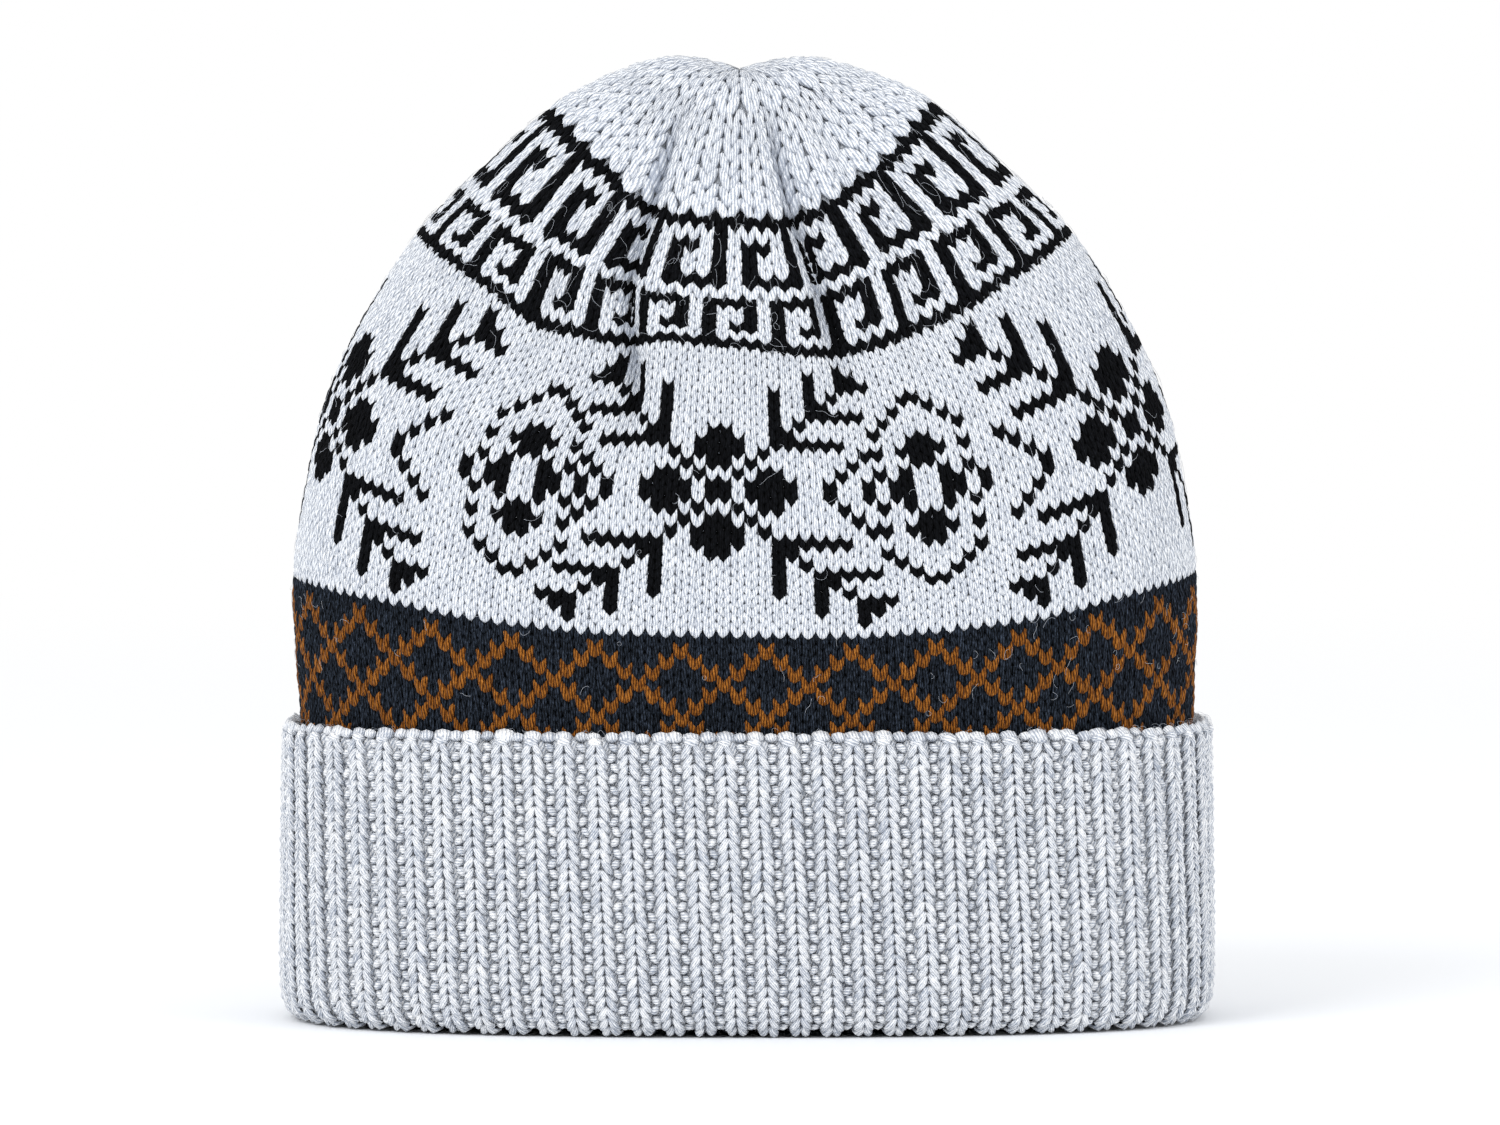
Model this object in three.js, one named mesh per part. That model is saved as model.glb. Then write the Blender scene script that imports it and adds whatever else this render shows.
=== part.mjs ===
// A knitted beanie that stands on the fold of its turned-up cuff.
// Millimetres, +Z up. The front of the hat faces -Y, and the origin is the middle of the footprint.
// The body is one tube of knitting that changes yarn on the way up, so each band is a hollow wall of its own.
// A place on the body is a row of knitting, counted down from the gather, and a turn, counted round from the
// front centre towards +X, with 1 for the whole way round.

import * as THREE from 'three';

// Driving dimensions.
const WALL = 3.0;           // thickness of the plain knitting
const BAND_GAP = 0.3;       // clear space between one band and the next
const ROW_HEIGHT = 2.5;     // height of one row of knitting at the front
const OVAL_POWER = 2.5;     // 2 is an ellipse, and more is fuller at the corners
const ROUND_ROWS = 34;      // the oval's fuller corners die away from this row up to the gather
const CUFF_SEGMENTS = 56;   // facets round the cuff and the band behind it

const CUFF_HEIGHT = 73.0;   // from the floor to the cuff's loose edge
const RIB_LAYER = 4.2;      // thickness of the cuff's outer layer, with its ribs
const CUFF_SLOT = 0.8;      // clear space between the body and the cuff's outer layer

// Rows where one band ends and the next begins, and how many rings of facets make it. The crown has its own.
// Folded bands have extra facets where they fold.
const CROWN_ROWS = [1.5, 3, 5.5, 8.5];
const BANDS = {
  crown_cap: { top: 0, bottom: 12, folded: true },
  key_band: { top: 12, bottom: 25, levels: 5, folded: true },
  motif_band: { top: 25, bottom: 53, levels: 7, folded: true },
  lattice_band: { top: 53, bottom: 67, levels: 4, folded: false },
};

// The body's outer surface. A row of knitting is an oval ring that dips from its sides to its front and back.
const STATIONS = [
  { name: 'gather', row: 0, halfWidth: 0, halfDepth: 0, sideZ: 229.4, frontZ: 229.4 },
  { name: 'puff', row: 3, halfWidth: 15.0, halfDepth: 12.5, sideZ: 232.0, frontZ: 226.0 },
  { name: 'shoulder', row: 5.5, halfWidth: 25.0, halfDepth: 21.5, sideZ: 230.2, frontZ: 217.5 },
  { name: 'key top', row: 12, halfWidth: 45.4, halfDepth: 37.5, sideZ: 220.3, frontZ: 194.0 },
  { name: 'key middle', row: 19, halfWidth: 67.6, halfDepth: 45.0, sideZ: 201.0, frontZ: 175.5 },
  { name: 'key foot', row: 25, halfWidth: 79.0, halfDepth: 50.5, sideZ: 189.7, frontZ: 163.5 },
  { name: 'brow', row: 33, halfWidth: 92.6, halfDepth: 56.0, sideZ: 169.0, frontZ: 145.0 },
  { name: 'flank', row: 39, halfWidth: 101.0, halfDepth: 58.8, sideZ: 151.0, frontZ: 130.0 },
  { name: 'belly', row: 45, halfWidth: 105.2, halfDepth: 60.7, sideZ: 133.5, frontZ: 113.8 },
  { name: 'charcoal top', row: 53, halfWidth: 109.0, halfDepth: 61.5, sideZ: 107.5, frontZ: 96.0 },
  { name: 'behind the cuff', row: 67, halfWidth: 107.5, halfDepth: 60.5, sideZ: 67.0, frontZ: 58.0 },
];
const LEAN = {                // the body leans a little to the left, and its gather most
  rows: [0, 12, 25, 53, 67],
  x: [-1.9, -1.4, -0.6, -0.6, 0],
};
const KEY_TOP_ROW = 12;
const KEY_FOOT_ROW = 25;

// Soft pleats that run down from the crown on a slight slant. The same folds are on the front and the back.
// Above and below are a fold's turns at the key pattern's top and foot, and depth is how far the wall sinks
// in. It starts to open out at the row eases and has gone at the row end.
const FOLDS = [
  { name: 'left wing', above: -0.130, below: -0.120, depth: 2.0, eases: 18, end: 34 },
  { name: 'left of the panel', above: -0.088, below: -0.067, depth: 5.5, eases: 26, end: 38 },
  { name: 'right of the panel', above: 0.050, below: 0.053, depth: 5.5, eases: 18, end: 34 },
  { name: 'right wing', above: 0.106, below: 0.100, depth: 2.0, eases: 18, end: 34 },
];
const FOLD_REACH = 6.0;       // half the width of a fold on the outside
const FOLD_SHARPNESS = 1.6;   // 1 is a plain wave, and more is a narrower crease
const FOLD_ROWS = { start: 2, full: 10 };
const FOLD_FACETS = [-1, -0.5, 0, 0.5, 1];   // places of the facets across a fold, as shares of its reach
const FREE_FACETS = [2, 10, 2, 5, 2, 8, 2, 5];   // facets after each fold, on the way round to the next
const WIDEST_FACET_REACH = 0.018;            // near the gather the facets keep this much of a turn at most

// How far the rows rise over the smooth outline, at rows of the body and turns from the front centre.
const DRIFT_COLUMNS = [
  { name: 'none above', row: 5 },
  { name: 'keyTop', row: 12 },
  { name: 'keyMiddle', row: 19 },
  { name: 'keyFoot', row: 25 },
  { name: 'flank', row: 39 },
  { name: 'charcoal', row: 53 },
  { name: 'none below', row: 67 },
];
const DRIFTS = [
  { turn: -0.250, keyTop: 0.0, keyMiddle: 0.0, keyFoot: 0.0, flank: -1.0, charcoal: 0.0 },
  { turn: -0.180, keyTop: 1.0, keyMiddle: 0.5, keyFoot: 1.5, flank: -1.0, charcoal: 1.3 },
  { turn: -0.150, keyTop: 0.5, keyMiddle: 0.0, keyFoot: 1.0, flank: -0.8, charcoal: 1.6 },
  { turn: -0.120, keyTop: -0.3, keyMiddle: 0.5, keyFoot: -3.2, flank: -0.5, charcoal: 0.8 },
  { turn: -0.092, keyTop: -3.0, keyMiddle: 0.2, keyFoot: -1.8, flank: -0.5, charcoal: 0.2 },
  { turn: -0.067, keyTop: -1.6, keyMiddle: -0.8, keyFoot: -2.0, flank: -0.3, charcoal: -0.3 },
  { turn: -0.045, keyTop: 0.0, keyMiddle: -0.4, keyFoot: 0.9, flank: 0.0, charcoal: -0.4 },
  { turn: 0.000, keyTop: 0.9, keyMiddle: -0.5, keyFoot: -0.2, flank: 0.0, charcoal: -0.5 },
  { turn: 0.030, keyTop: -0.5, keyMiddle: -1.3, keyFoot: -2.2, flank: -0.6, charcoal: -0.9 },
  { turn: 0.052, keyTop: -1.6, keyMiddle: -1.2, keyFoot: -3.8, flank: -1.2, charcoal: -1.0 },
  { turn: 0.080, keyTop: -0.5, keyMiddle: 1.3, keyFoot: -2.8, flank: -1.5, charcoal: -0.5 },
  { turn: 0.100, keyTop: -0.5, keyMiddle: 2.3, keyFoot: -1.8, flank: -1.6, charcoal: -0.4 },
  { turn: 0.130, keyTop: 0.5, keyMiddle: 4.0, keyFoot: 0.0, flank: -1.5, charcoal: 0.2 },
  { turn: 0.160, keyTop: 1.3, keyMiddle: 3.5, keyFoot: 1.9, flank: -1.2, charcoal: 1.8 },
  { turn: 0.200, keyTop: 1.5, keyMiddle: 1.5, keyFoot: 1.5, flank: -0.8, charcoal: 1.8 },
  { turn: 0.250, keyTop: 1.5, keyMiddle: 0.5, keyFoot: 0.2, flank: 0.0, charcoal: 1.3 },
];

// The cuff's section, walked once round from the top of its inner layer. Out is the distance from the inner
// face of the hat. A height of null stands for the edge that meets the lattice band.
const FOLD = RIB_LAYER + CUFF_SLOT + WALL;
const CUFF_SECTION = [
  { out: 0.0, z: null },
  { out: WALL, z: null },
  { out: WALL, z: 30.0 },
  { out: WALL + 0.1, z: 9.0 },
  { out: WALL + CUFF_SLOT / 2, z: 7.8 },
  { out: WALL + CUFF_SLOT - 0.1, z: 9.0 },
  { out: WALL + CUFF_SLOT, z: 40.0 },
  { out: WALL + CUFF_SLOT, z: CUFF_HEIGHT - 1.5 },
  { out: WALL + CUFF_SLOT + 1.0, z: CUFF_HEIGHT },
  { out: FOLD - 1.0, z: CUFF_HEIGHT },
  { out: FOLD, z: CUFF_HEIGHT - 1.2 },
  { out: FOLD + 0.3, z: 45.0 },
  { out: FOLD + 0.7, z: 20.0 },
  { out: FOLD + 0.6, z: 7.0 },
  { out: FOLD - 0.4, z: 2.8 },
  { out: FOLD - 2.2, z: 0.5 },
  { out: FOLD - 3.2, z: 0.0 },
  { out: 2.4, z: 0.0 },
  { out: 0.9, z: 0.8 },
  { out: 0.0, z: 3.5 },
  { out: 0.0, z: 30.0 },
];

// One value of the stations at a row: a smooth curve through the table.
function alongStations(column, row) {
  const last = STATIONS.length - 1;
  const slope = (i) => {
    const before = STATIONS[Math.max(i - 1, 0)];
    const after = STATIONS[Math.min(i + 1, last)];
    return (after[column] - before[column]) / (after.row - before.row);
  };
  let i = 0;
  while (i < last - 1 && row > STATIONS[i + 1].row) i += 1;
  const from = STATIONS[i];
  const to = STATIONS[i + 1];
  const span = to.row - from.row;
  const t = (row - from.row) / span;
  const ease = t * t * (3 - 2 * t);
  const leave = t * (1 - t) * (1 - t) * span * slope(i);
  const arrive = t * t * (t - 1) * span * slope(i + 1);
  return from[column] * (1 - ease) + to[column] * ease + leave + arrive;
}

// The oval of half width 1 and half depth 1, as places at equal steps round the widest part of the hat.
function makeOval() {
  const widest = STATIONS.find((station) => station.name === 'charcoal top');
  const steps = 2880;
  const places = [];
  let length = 0;
  for (let i = 0; i <= steps; i += 1) {
    const angle = (2 * Math.PI * i) / steps - Math.PI / 2;
    const c = Math.cos(angle);
    const s = Math.sin(angle);
    const radius = (Math.abs(c) ** OVAL_POWER + Math.abs(s) ** OVAL_POWER) ** (-1 / OVAL_POWER);
    const place = { across: radius * c, back: radius * s, length: 0 };
    if (i > 0) {
      const previous = places[i - 1];
      const dx = (place.across - previous.across) * widest.halfWidth;
      const dy = (place.back - previous.back) * widest.halfDepth;
      length += Math.hypot(dx, dy);
    }
    place.length = length;
    places.push(place);
  }
  return (turn) => {
    const target = (turn - Math.floor(turn)) * length;
    let i = Math.min(Math.floor((target / length) * steps), steps - 1);
    while (i > 0 && places[i].length > target) i -= 1;
    while (i < steps - 1 && places[i + 1].length < target) i += 1;
    const from = places[i];
    const to = places[i + 1];
    const t = (target - from.length) / (to.length - from.length);
    return {
      across: THREE.MathUtils.lerp(from.across, to.across, t),
      back: THREE.MathUtils.lerp(from.back, to.back, t),
    };
  };
}
const ovalAt = makeOval();

// The turn on the front of the hat that faces a turn on its back, from -0.25 to 0.25.
function mirroredTurn(turn) {
  const near = turn - Math.round(turn);
  return Math.abs(near) <= 0.25 ? near : Math.sign(near) * 0.5 - near;
}

// A fold's turn at a row, along its slanted line.
function foldTurn(fold, row) {
  const share = THREE.MathUtils.clamp((row - KEY_TOP_ROW) / (KEY_FOOT_ROW - KEY_TOP_ROW), -0.6, 1.4);
  return THREE.MathUtils.lerp(fold.above, fold.below, share);
}

// How much of a turn a width covers at a row.
function turnsAcross(width, row) {
  return width / (Math.PI * (alongStations('halfWidth', row) + alongStations('halfDepth', row)));
}

// How far the folds pull the wall in at a place. On the inside they are wider, by the wall's thickness.
function foldDepth(row, turn, reach) {
  const starts = THREE.MathUtils.smoothstep(row, FOLD_ROWS.start, FOLD_ROWS.full);
  let depth = 0;
  for (const fold of FOLDS) {
    const ends = THREE.MathUtils.smoothstep(row, fold.eases, fold.end);
    const away = Math.abs(mirroredTurn(turn) - foldTurn(fold, row)) / turnsAcross(reach, row);
    const wave = 0.5 * (1 + Math.cos(Math.PI * Math.min(away, 1)));
    depth += fold.depth * starts * (1 - ends) * wave ** FOLD_SHARPNESS;
  }
  return depth;
}

// A value from a list of places and values, straight between them.
function between(places, values, place) {
  const last = places.length - 1;
  let i = 0;
  while (i < last - 1 && place > places[i + 1]) i += 1;
  const share = THREE.MathUtils.clamp((place - places[i]) / (places[i + 1] - places[i]), 0, 1);
  return THREE.MathUtils.lerp(values[i], values[i + 1], share);
}

// How far a row rises over the smooth outline at a turn.
function driftAt(row, turn) {
  const turns = DRIFTS.map((line) => line.turn);
  const rises = DRIFT_COLUMNS.map(({ name }) => {
    const column = DRIFTS.map((line) => line[name] ?? 0);
    return between(turns, column, mirroredTurn(turn));
  });
  return between(DRIFT_COLUMNS.map((column) => column.row), rises, row);
}

// The oval at a row, which turns into a plain ellipse towards the gather.
function rowOval(row, turn) {
  const full = ovalAt(turn);
  const angle = 2 * Math.PI * turn;
  const share = THREE.MathUtils.smoothstep(row, 0, ROUND_ROWS);
  return {
    across: THREE.MathUtils.lerp(Math.sin(angle), full.across, share),
    back: THREE.MathUtils.lerp(-Math.cos(angle), full.back, share),
  };
}

// A point of the body's smooth outline, before it folds.
function smoothPoint(row, turn) {
  const { across, back } = rowOval(row, turn);
  const lean = between(LEAN.rows, LEAN.x, row);
  const z = THREE.MathUtils.lerp(alongStations('sideZ', row), alongStations('frontZ', row), back * back);
  return new THREE.Vector3(
    alongStations('halfWidth', row) * across + lean,
    alongStations('halfDepth', row) * back,
    z + driftAt(row, turn),
  );
}

// The smooth outline's outward direction at a place, from a short step along it each way.
function outward(row, turn) {
  const rowStep = 0.2;
  const turnStep = 0.004;
  const ahead = smoothPoint(row, turn + turnStep);
  const behind = smoothPoint(row, turn - turnStep);
  const below = smoothPoint(row + rowStep, turn);
  const above = smoothPoint(Math.max(row - rowStep, 0), turn);
  return below.sub(above).cross(ahead.sub(behind)).normalize();
}

// A point of the body's wall at a depth under its outer face.
function bodyPoint(row, turn, depth) {
  const { across, back } = rowOval(row, turn);
  const sunk = foldDepth(row, turn, FOLD_REACH + depth);
  const point = smoothPoint(row, turn).addScaledVector(outward(row, turn), -depth);
  return point.add(new THREE.Vector3(-sunk * across, -sunk * back, 0));
}

// The turns of a row's facets: even steps on the cuff and behind it, and some at every fold on a folded band.
function facetTurns(row, folded) {
  if (!folded) return Array.from({ length: CUFF_SEGMENTS }, (_, i) => i / CUFF_SEGMENTS);
  const reach = Math.min(turnsAcross(FOLD_REACH, row), WIDEST_FACET_REACH);
  const middles = FOLDS.flatMap((fold) => {
    const front = foldTurn(fold, row);
    const back = Math.sign(front) * 0.5 - front;
    return [THREE.MathUtils.euclideanModulo(front, 1), THREE.MathUtils.euclideanModulo(back, 1)];
  }).sort((a, b) => a - b);
  const turns = [];
  middles.forEach((middle, i) => {
    FOLD_FACETS.forEach((share) => turns.push(middle + share * reach));
    const steps = FREE_FACETS[i];
    const from = middle + reach;
    const to = (i + 1 < middles.length ? middles[i + 1] : middles[0] + 1) - reach;
    for (let step = 1; step < steps; step += 1) turns.push(THREE.MathUtils.lerp(from, to, step / steps));
  });
  return turns;
}

// One ring of the body at a row: its outer face, or its inner face a wall's thickness in.
function bodyRing(row, depth, folded) {
  return facetTurns(row, folded).map((turn) => bodyPoint(row, turn, depth));
}

// A closed solid from rings that go once round a wall's section. A pole at each end closes a cap.
function wallSolid(rings, poles = null) {
  const positions = [];
  const triangles = [];
  const count = rings[0].length;
  rings.flat().forEach((point) => positions.push(point.x, point.y, point.z));
  const joins = poles ? rings.length - 1 : rings.length;
  for (let ring = 0; ring < joins; ring += 1) {
    const here = ring * count;
    const next = ((ring + 1) % rings.length) * count;
    for (let i = 0; i < count; i += 1) {
      const j = (i + 1) % count;
      triangles.push(here + i, next + i, next + j, here + i, next + j, here + j);
    }
  }
  if (poles) {
    const first = positions.length / 3;
    poles.forEach((pole) => positions.push(pole.x, pole.y, pole.z));
    const lastRing = (rings.length - 1) * count;
    for (let i = 0; i < count; i += 1) {
      const j = (i + 1) % count;
      triangles.push(first, i, j);
      triangles.push(first + 1, lastRing + j, lastRing + i);
    }
  }
  const geometry = new THREE.BufferGeometry();
  geometry.setAttribute('position', new THREE.Float32BufferAttribute(positions, 3));
  geometry.setIndex(triangles);
  geometry.computeVertexNormals();
  return geometry;
}

// The rows of a band's rings, held back from its neighbours by half the gap at each end.
function bandRows({ top, bottom, levels }) {
  const back = BAND_GAP / 2 / ROW_HEIGHT;
  const rows = [];
  for (let i = 0; i < levels; i += 1) {
    const share = i / (levels - 1);
    rows.push(THREE.MathUtils.lerp(top + back, bottom - back, share));
  }
  return rows;
}

// A band of the body: an open ring of wall.
function bandSolid(band) {
  const rows = bandRows(band);
  const outer = rows.map((row) => bodyRing(row, 0, band.folded));
  const inner = rows.map((row) => bodyRing(row, WALL, band.folded)).reverse();
  return wallSolid([...outer, ...inner]);
}

// The crown: a cap of wall that closes at the gather.
function crownSolid() {
  const { bottom, folded } = BANDS.crown_cap;
  const end = bottom - BAND_GAP / 2 / ROW_HEIGHT;
  const rows = [...CROWN_ROWS, end];
  const outer = rows.map((row) => bodyRing(row, 0, folded));
  const inner = rows.map((row) => bodyRing(row, WALL, folded)).reverse();
  const gather = STATIONS[0].sideZ;
  const poles = [gather, gather - WALL].map((z) => new THREE.Vector3(LEAN.x[0], 0, z));
  return wallSolid([...outer, ...inner], poles);
}

// The cuff: the same section all the way round, apart from the inner layer's edge, which follows the band.
function cuffSolid() {
  const end = STATIONS[STATIONS.length - 1];
  const rings = CUFF_SECTION.map(({ out, z }) => {
    const ring = [];
    for (let i = 0; i < CUFF_SEGMENTS; i += 1) {
      const { across, back } = ovalAt(i / CUFF_SEGMENTS);
      const edge = THREE.MathUtils.lerp(end.sideZ, end.frontZ, back * back) - BAND_GAP;
      const x = (end.halfWidth - WALL + out) * across;
      const y = (end.halfDepth - WALL + out) * back;
      ring.push(new THREE.Vector3(x, y, z ?? edge));
    }
    return ring;
  });
  return wallSolid(rings);
}

// Yarn colours of the bands.
const FINISHES = {
  crown_cap: { color: '#E3E8EF', roughness: 0.9 },
  key_band: { color: '#E3E8EF', roughness: 0.9 },
  motif_band: { color: '#E3E8EF', roughness: 0.9 },
  lattice_band: { color: '#262A31', roughness: 0.95 },
  cuff: { color: '#C5CAD6', roughness: 0.9 },
};

function knitted(name, geometry) {
  const mesh = new THREE.Mesh(geometry, new THREE.MeshStandardMaterial({ ...FINISHES[name], metalness: 0 }));
  mesh.name = name;
  return mesh;
}

const beanie = new THREE.Group();
beanie.add(knitted('cuff', cuffSolid()));
beanie.add(knitted('lattice_band', bandSolid(BANDS.lattice_band)));
beanie.add(knitted('motif_band', bandSolid(BANDS.motif_band)));
beanie.add(knitted('key_band', bandSolid(BANDS.key_band)));
beanie.add(knitted('crown_cap', crownSolid()));

export default beanie;
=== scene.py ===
"""A knitted beanie that stands on the fold of its turned-up cuff: its stitches, yarns, light and camera.

A place on the hat is a row of knitting and a turn. Rows count down from the gather, and a turn counts round
from the front centre towards +X, with 1 for the whole way round. A stitch is a pair of yarn legs. A leg is
modelled once, in its stitch's own cell, and then laid stitch by stitch over the hat's face. Lengths are
millimetres here, and MM turns them to metres when a mesh is made.
"""

import logging
import math
from collections.abc import Callable
from dataclasses import dataclass, replace
from enum import Enum
from functools import cache

import bmesh
import bpy
import numpy as np
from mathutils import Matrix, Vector

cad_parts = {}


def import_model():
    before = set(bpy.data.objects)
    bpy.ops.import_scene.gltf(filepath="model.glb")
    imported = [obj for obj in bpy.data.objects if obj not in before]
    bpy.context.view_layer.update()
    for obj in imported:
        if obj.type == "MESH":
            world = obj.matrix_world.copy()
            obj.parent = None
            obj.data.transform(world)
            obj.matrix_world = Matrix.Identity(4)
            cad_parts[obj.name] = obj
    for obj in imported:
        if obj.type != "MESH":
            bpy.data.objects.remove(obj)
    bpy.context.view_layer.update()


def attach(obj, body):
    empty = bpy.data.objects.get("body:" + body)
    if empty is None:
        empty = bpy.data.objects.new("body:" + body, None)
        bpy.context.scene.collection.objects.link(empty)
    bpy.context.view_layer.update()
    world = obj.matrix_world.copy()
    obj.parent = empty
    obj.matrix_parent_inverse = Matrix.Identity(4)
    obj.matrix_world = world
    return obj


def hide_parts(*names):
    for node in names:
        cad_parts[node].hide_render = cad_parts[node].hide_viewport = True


log = logging.getLogger("beanie")

Array = np.ndarray
Piece = bpy.types.Object
Mesh = bpy.types.Mesh
Tree = bpy.types.NodeTree
Socket = bpy.types.NodeSocket

MM = 0.001
BODY = "root"

WALL = 3.0            # thickness of the plain knitting
OVAL_POWER = 2.5      # 2 is an ellipse, and more is fuller at the corners
ROUND_ROWS = 34.0     # the oval's fuller corners die away from this row up to the gather
CUFF_HEIGHT = 73.0    # from the floor to the cuff's loose edge
CUFF_SLOT = 0.8       # clear space between the body and the cuff's outer layer
RIB_COUNT = 76        # ribs round the cuff
RIB_PHASE = 0.28      # a rib lies this much of a rib to the right of the front centre
BODY_WALES = 168      # columns of stitches round the body
ROW_HEIGHT = 2.5      # of one row of knitting
WALE_WIDTH = 3.36     # of one column of stitches on the body
RIB_WIDTH = 7.7       # of one rib and the valley beside it


@dataclass(frozen=True)
class Station:
    """One row of the body's outline. A row dips from its two sides to its front and back."""

    row: float
    half_width: float
    half_depth: float
    side_z: float
    front_z: float


STATIONS = (
    Station(0.0, 0.0, 0.0, 229.4, 229.4),        # gather
    Station(3.0, 15.0, 12.5, 232.0, 226.0),      # puff
    Station(5.5, 25.0, 21.5, 230.2, 217.5),      # shoulder
    Station(12.0, 45.4, 37.5, 220.3, 194.0),     # key top
    Station(19.0, 67.6, 45.0, 201.0, 175.5),     # key middle
    Station(25.0, 79.0, 50.5, 189.7, 163.5),     # key bottom
    Station(33.0, 92.6, 56.0, 169.0, 145.0),     # brow
    Station(39.0, 101.0, 58.8, 151.0, 130.0),    # flank
    Station(45.0, 105.2, 60.7, 133.5, 113.8),    # belly
    Station(53.0, 109.0, 61.5, 107.5, 96.0),     # charcoal top
    Station(67.0, 107.5, 60.5, 67.0, 58.0),      # behind the cuff
)
WIDEST = STATIONS[-2]
LOWEST = STATIONS[-1]


@dataclass(frozen=True)
class Fold:
    """A soft pleat that runs down from the crown. The same folds show on the front and the back."""

    turn_above: float     # its turn at the top of the key pattern
    turn_below: float     # its turn at the foot of the key pattern
    depth: float          # how far the wall sinks in
    hidden: float         # width of knitting that is tucked away in it
    eases: float = 18.0   # the row where it starts to open out
    end: float = 34.0     # the row where it has gone


FOLDS = (
    Fold(-0.130, -0.120, 2.0, 2.0),                          # left wing
    Fold(-0.088, -0.067, 5.5, 5.0, eases=26.0, end=38.0),    # left of the panel
    Fold(0.050, 0.053, 5.5, 4.0),                            # right of the panel
    Fold(0.106, 0.100, 2.0, 2.0),                            # right wing
)
FOLD_REACH = 6.0      # half the width of a fold
FOLD_SHARPNESS = 1.6  # 1 is a plain wave, and more is a narrower crease
FOLD_START, FOLD_FULL = 2.0, 10.0         # the rows where the folds begin and have their full depth
KEY_TOP_ROW, KEY_FOOT_ROW = 12.0, 25.0
LEAN_ROWS = (0.0, 12.0, 25.0, 53.0, 67.0)
LEANS = (-1.9, -1.4, -0.6, -0.6, 0.0)    # the body leans a little to the left, and its gather most

DRIFT_START, DRIFT_END = 5.0, 67.0        # the rows where the drift begins and has died away
DRIFT_ROWS = (12.0, 19.0, 25.0, 39.0, 53.0)
DRIFTS = (
    # turn, then how far the row's line rises over the smooth outline at each of the rows above
    (-0.250, 0.0, 0.0, 0.0, -1.0, 0.0),
    (-0.180, 1.0, 0.5, 1.5, -1.0, 1.3),
    (-0.150, 0.5, 0.0, 1.0, -0.8, 1.6),
    (-0.120, -0.3, 0.5, -3.2, -0.5, 0.8),
    (-0.092, -3.0, 0.2, -1.8, -0.5, 0.2),
    (-0.067, -1.6, -0.8, -2.0, -0.3, -0.3),
    (-0.045, 0.0, -0.4, 0.9, 0.0, -0.4),
    (0.000, 0.9, -0.5, -0.2, 0.0, -0.5),
    (0.030, -0.5, -1.3, -2.2, -0.6, -0.9),
    (0.052, -1.6, -1.2, -3.8, -1.2, -1.0),
    (0.080, -0.5, 1.3, -2.8, -1.5, -0.5),
    (0.100, -0.5, 2.3, -1.8, -1.6, -0.4),
    (0.130, 0.5, 4.0, 0.0, -1.5, 0.2),
    (0.160, 1.3, 3.5, 1.9, -1.2, 1.8),
    (0.200, 1.5, 1.5, 1.5, -0.8, 1.8),
    (0.250, 1.5, 0.5, 0.2, 0.0, 1.3),
)


class Yarn(Enum):
    """The yarns that the hat is knitted in."""

    WHITE = 0
    BLACK = 1
    CHARCOAL = 2
    RUST = 3
    CUFF = 4
    FIBRE = 5    # single fibres that have worked loose


def linear(hex_colour: str) -> tuple[float, float, float, float]:
    """Turns an sRGB hex colour into the linear values that a shader takes.

    Args:
        hex_colour: Six digits after a hash, such as "#F2F4F8".

    Returns:
        Red, green, blue and an alpha of 1.
    """
    values = [int(hex_colour[i : i + 2], 16) / 255 for i in (1, 3, 5)]
    lit = [v / 12.92 if v <= 0.04045 else ((v + 0.055) / 1.055) ** 2.4 for v in values]
    return (lit[0], lit[1], lit[2], 1.0)


def smoothstep(value: Array, low: float, high: float) -> Array:
    """Eases from 0 at low to 1 at high."""
    t = np.clip((value - low) / (high - low), 0.0, 1.0)
    return t * t * (3.0 - 2.0 * t)


def mix(start: Array, end: Array, share: Array) -> Array:
    """Blends from start to end."""
    return start + (end - start) * share


class Oval:
    """The hat's outline from above, of half width 1 and half depth 1, measured round its widest row."""

    STEPS = 2880

    def __init__(self) -> None:
        """Walks once round the oval and keeps the way walked at each step."""
        angle = np.linspace(0.0, 2.0 * math.pi, self.STEPS + 1) - math.pi / 2
        c, s = np.cos(angle), np.sin(angle)
        radius = (np.abs(c) ** OVAL_POWER + np.abs(s) ** OVAL_POWER) ** (-1.0 / OVAL_POWER)
        self.across, self.back = radius * c, radius * s
        steps = np.hypot(np.diff(self.across) * WIDEST.half_width, np.diff(self.back) * WIDEST.half_depth)
        self.walked = np.concatenate([[0.0], np.cumsum(steps)])
        self.length = float(self.walked[-1])

    def at(self, turn: Array) -> tuple[Array, Array]:
        """Finds the places across and back at a turn."""
        target = np.mod(turn, 1.0) * self.length
        return np.interp(target, self.walked, self.across), np.interp(target, self.walked, self.back)


OVAL = Oval()


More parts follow.
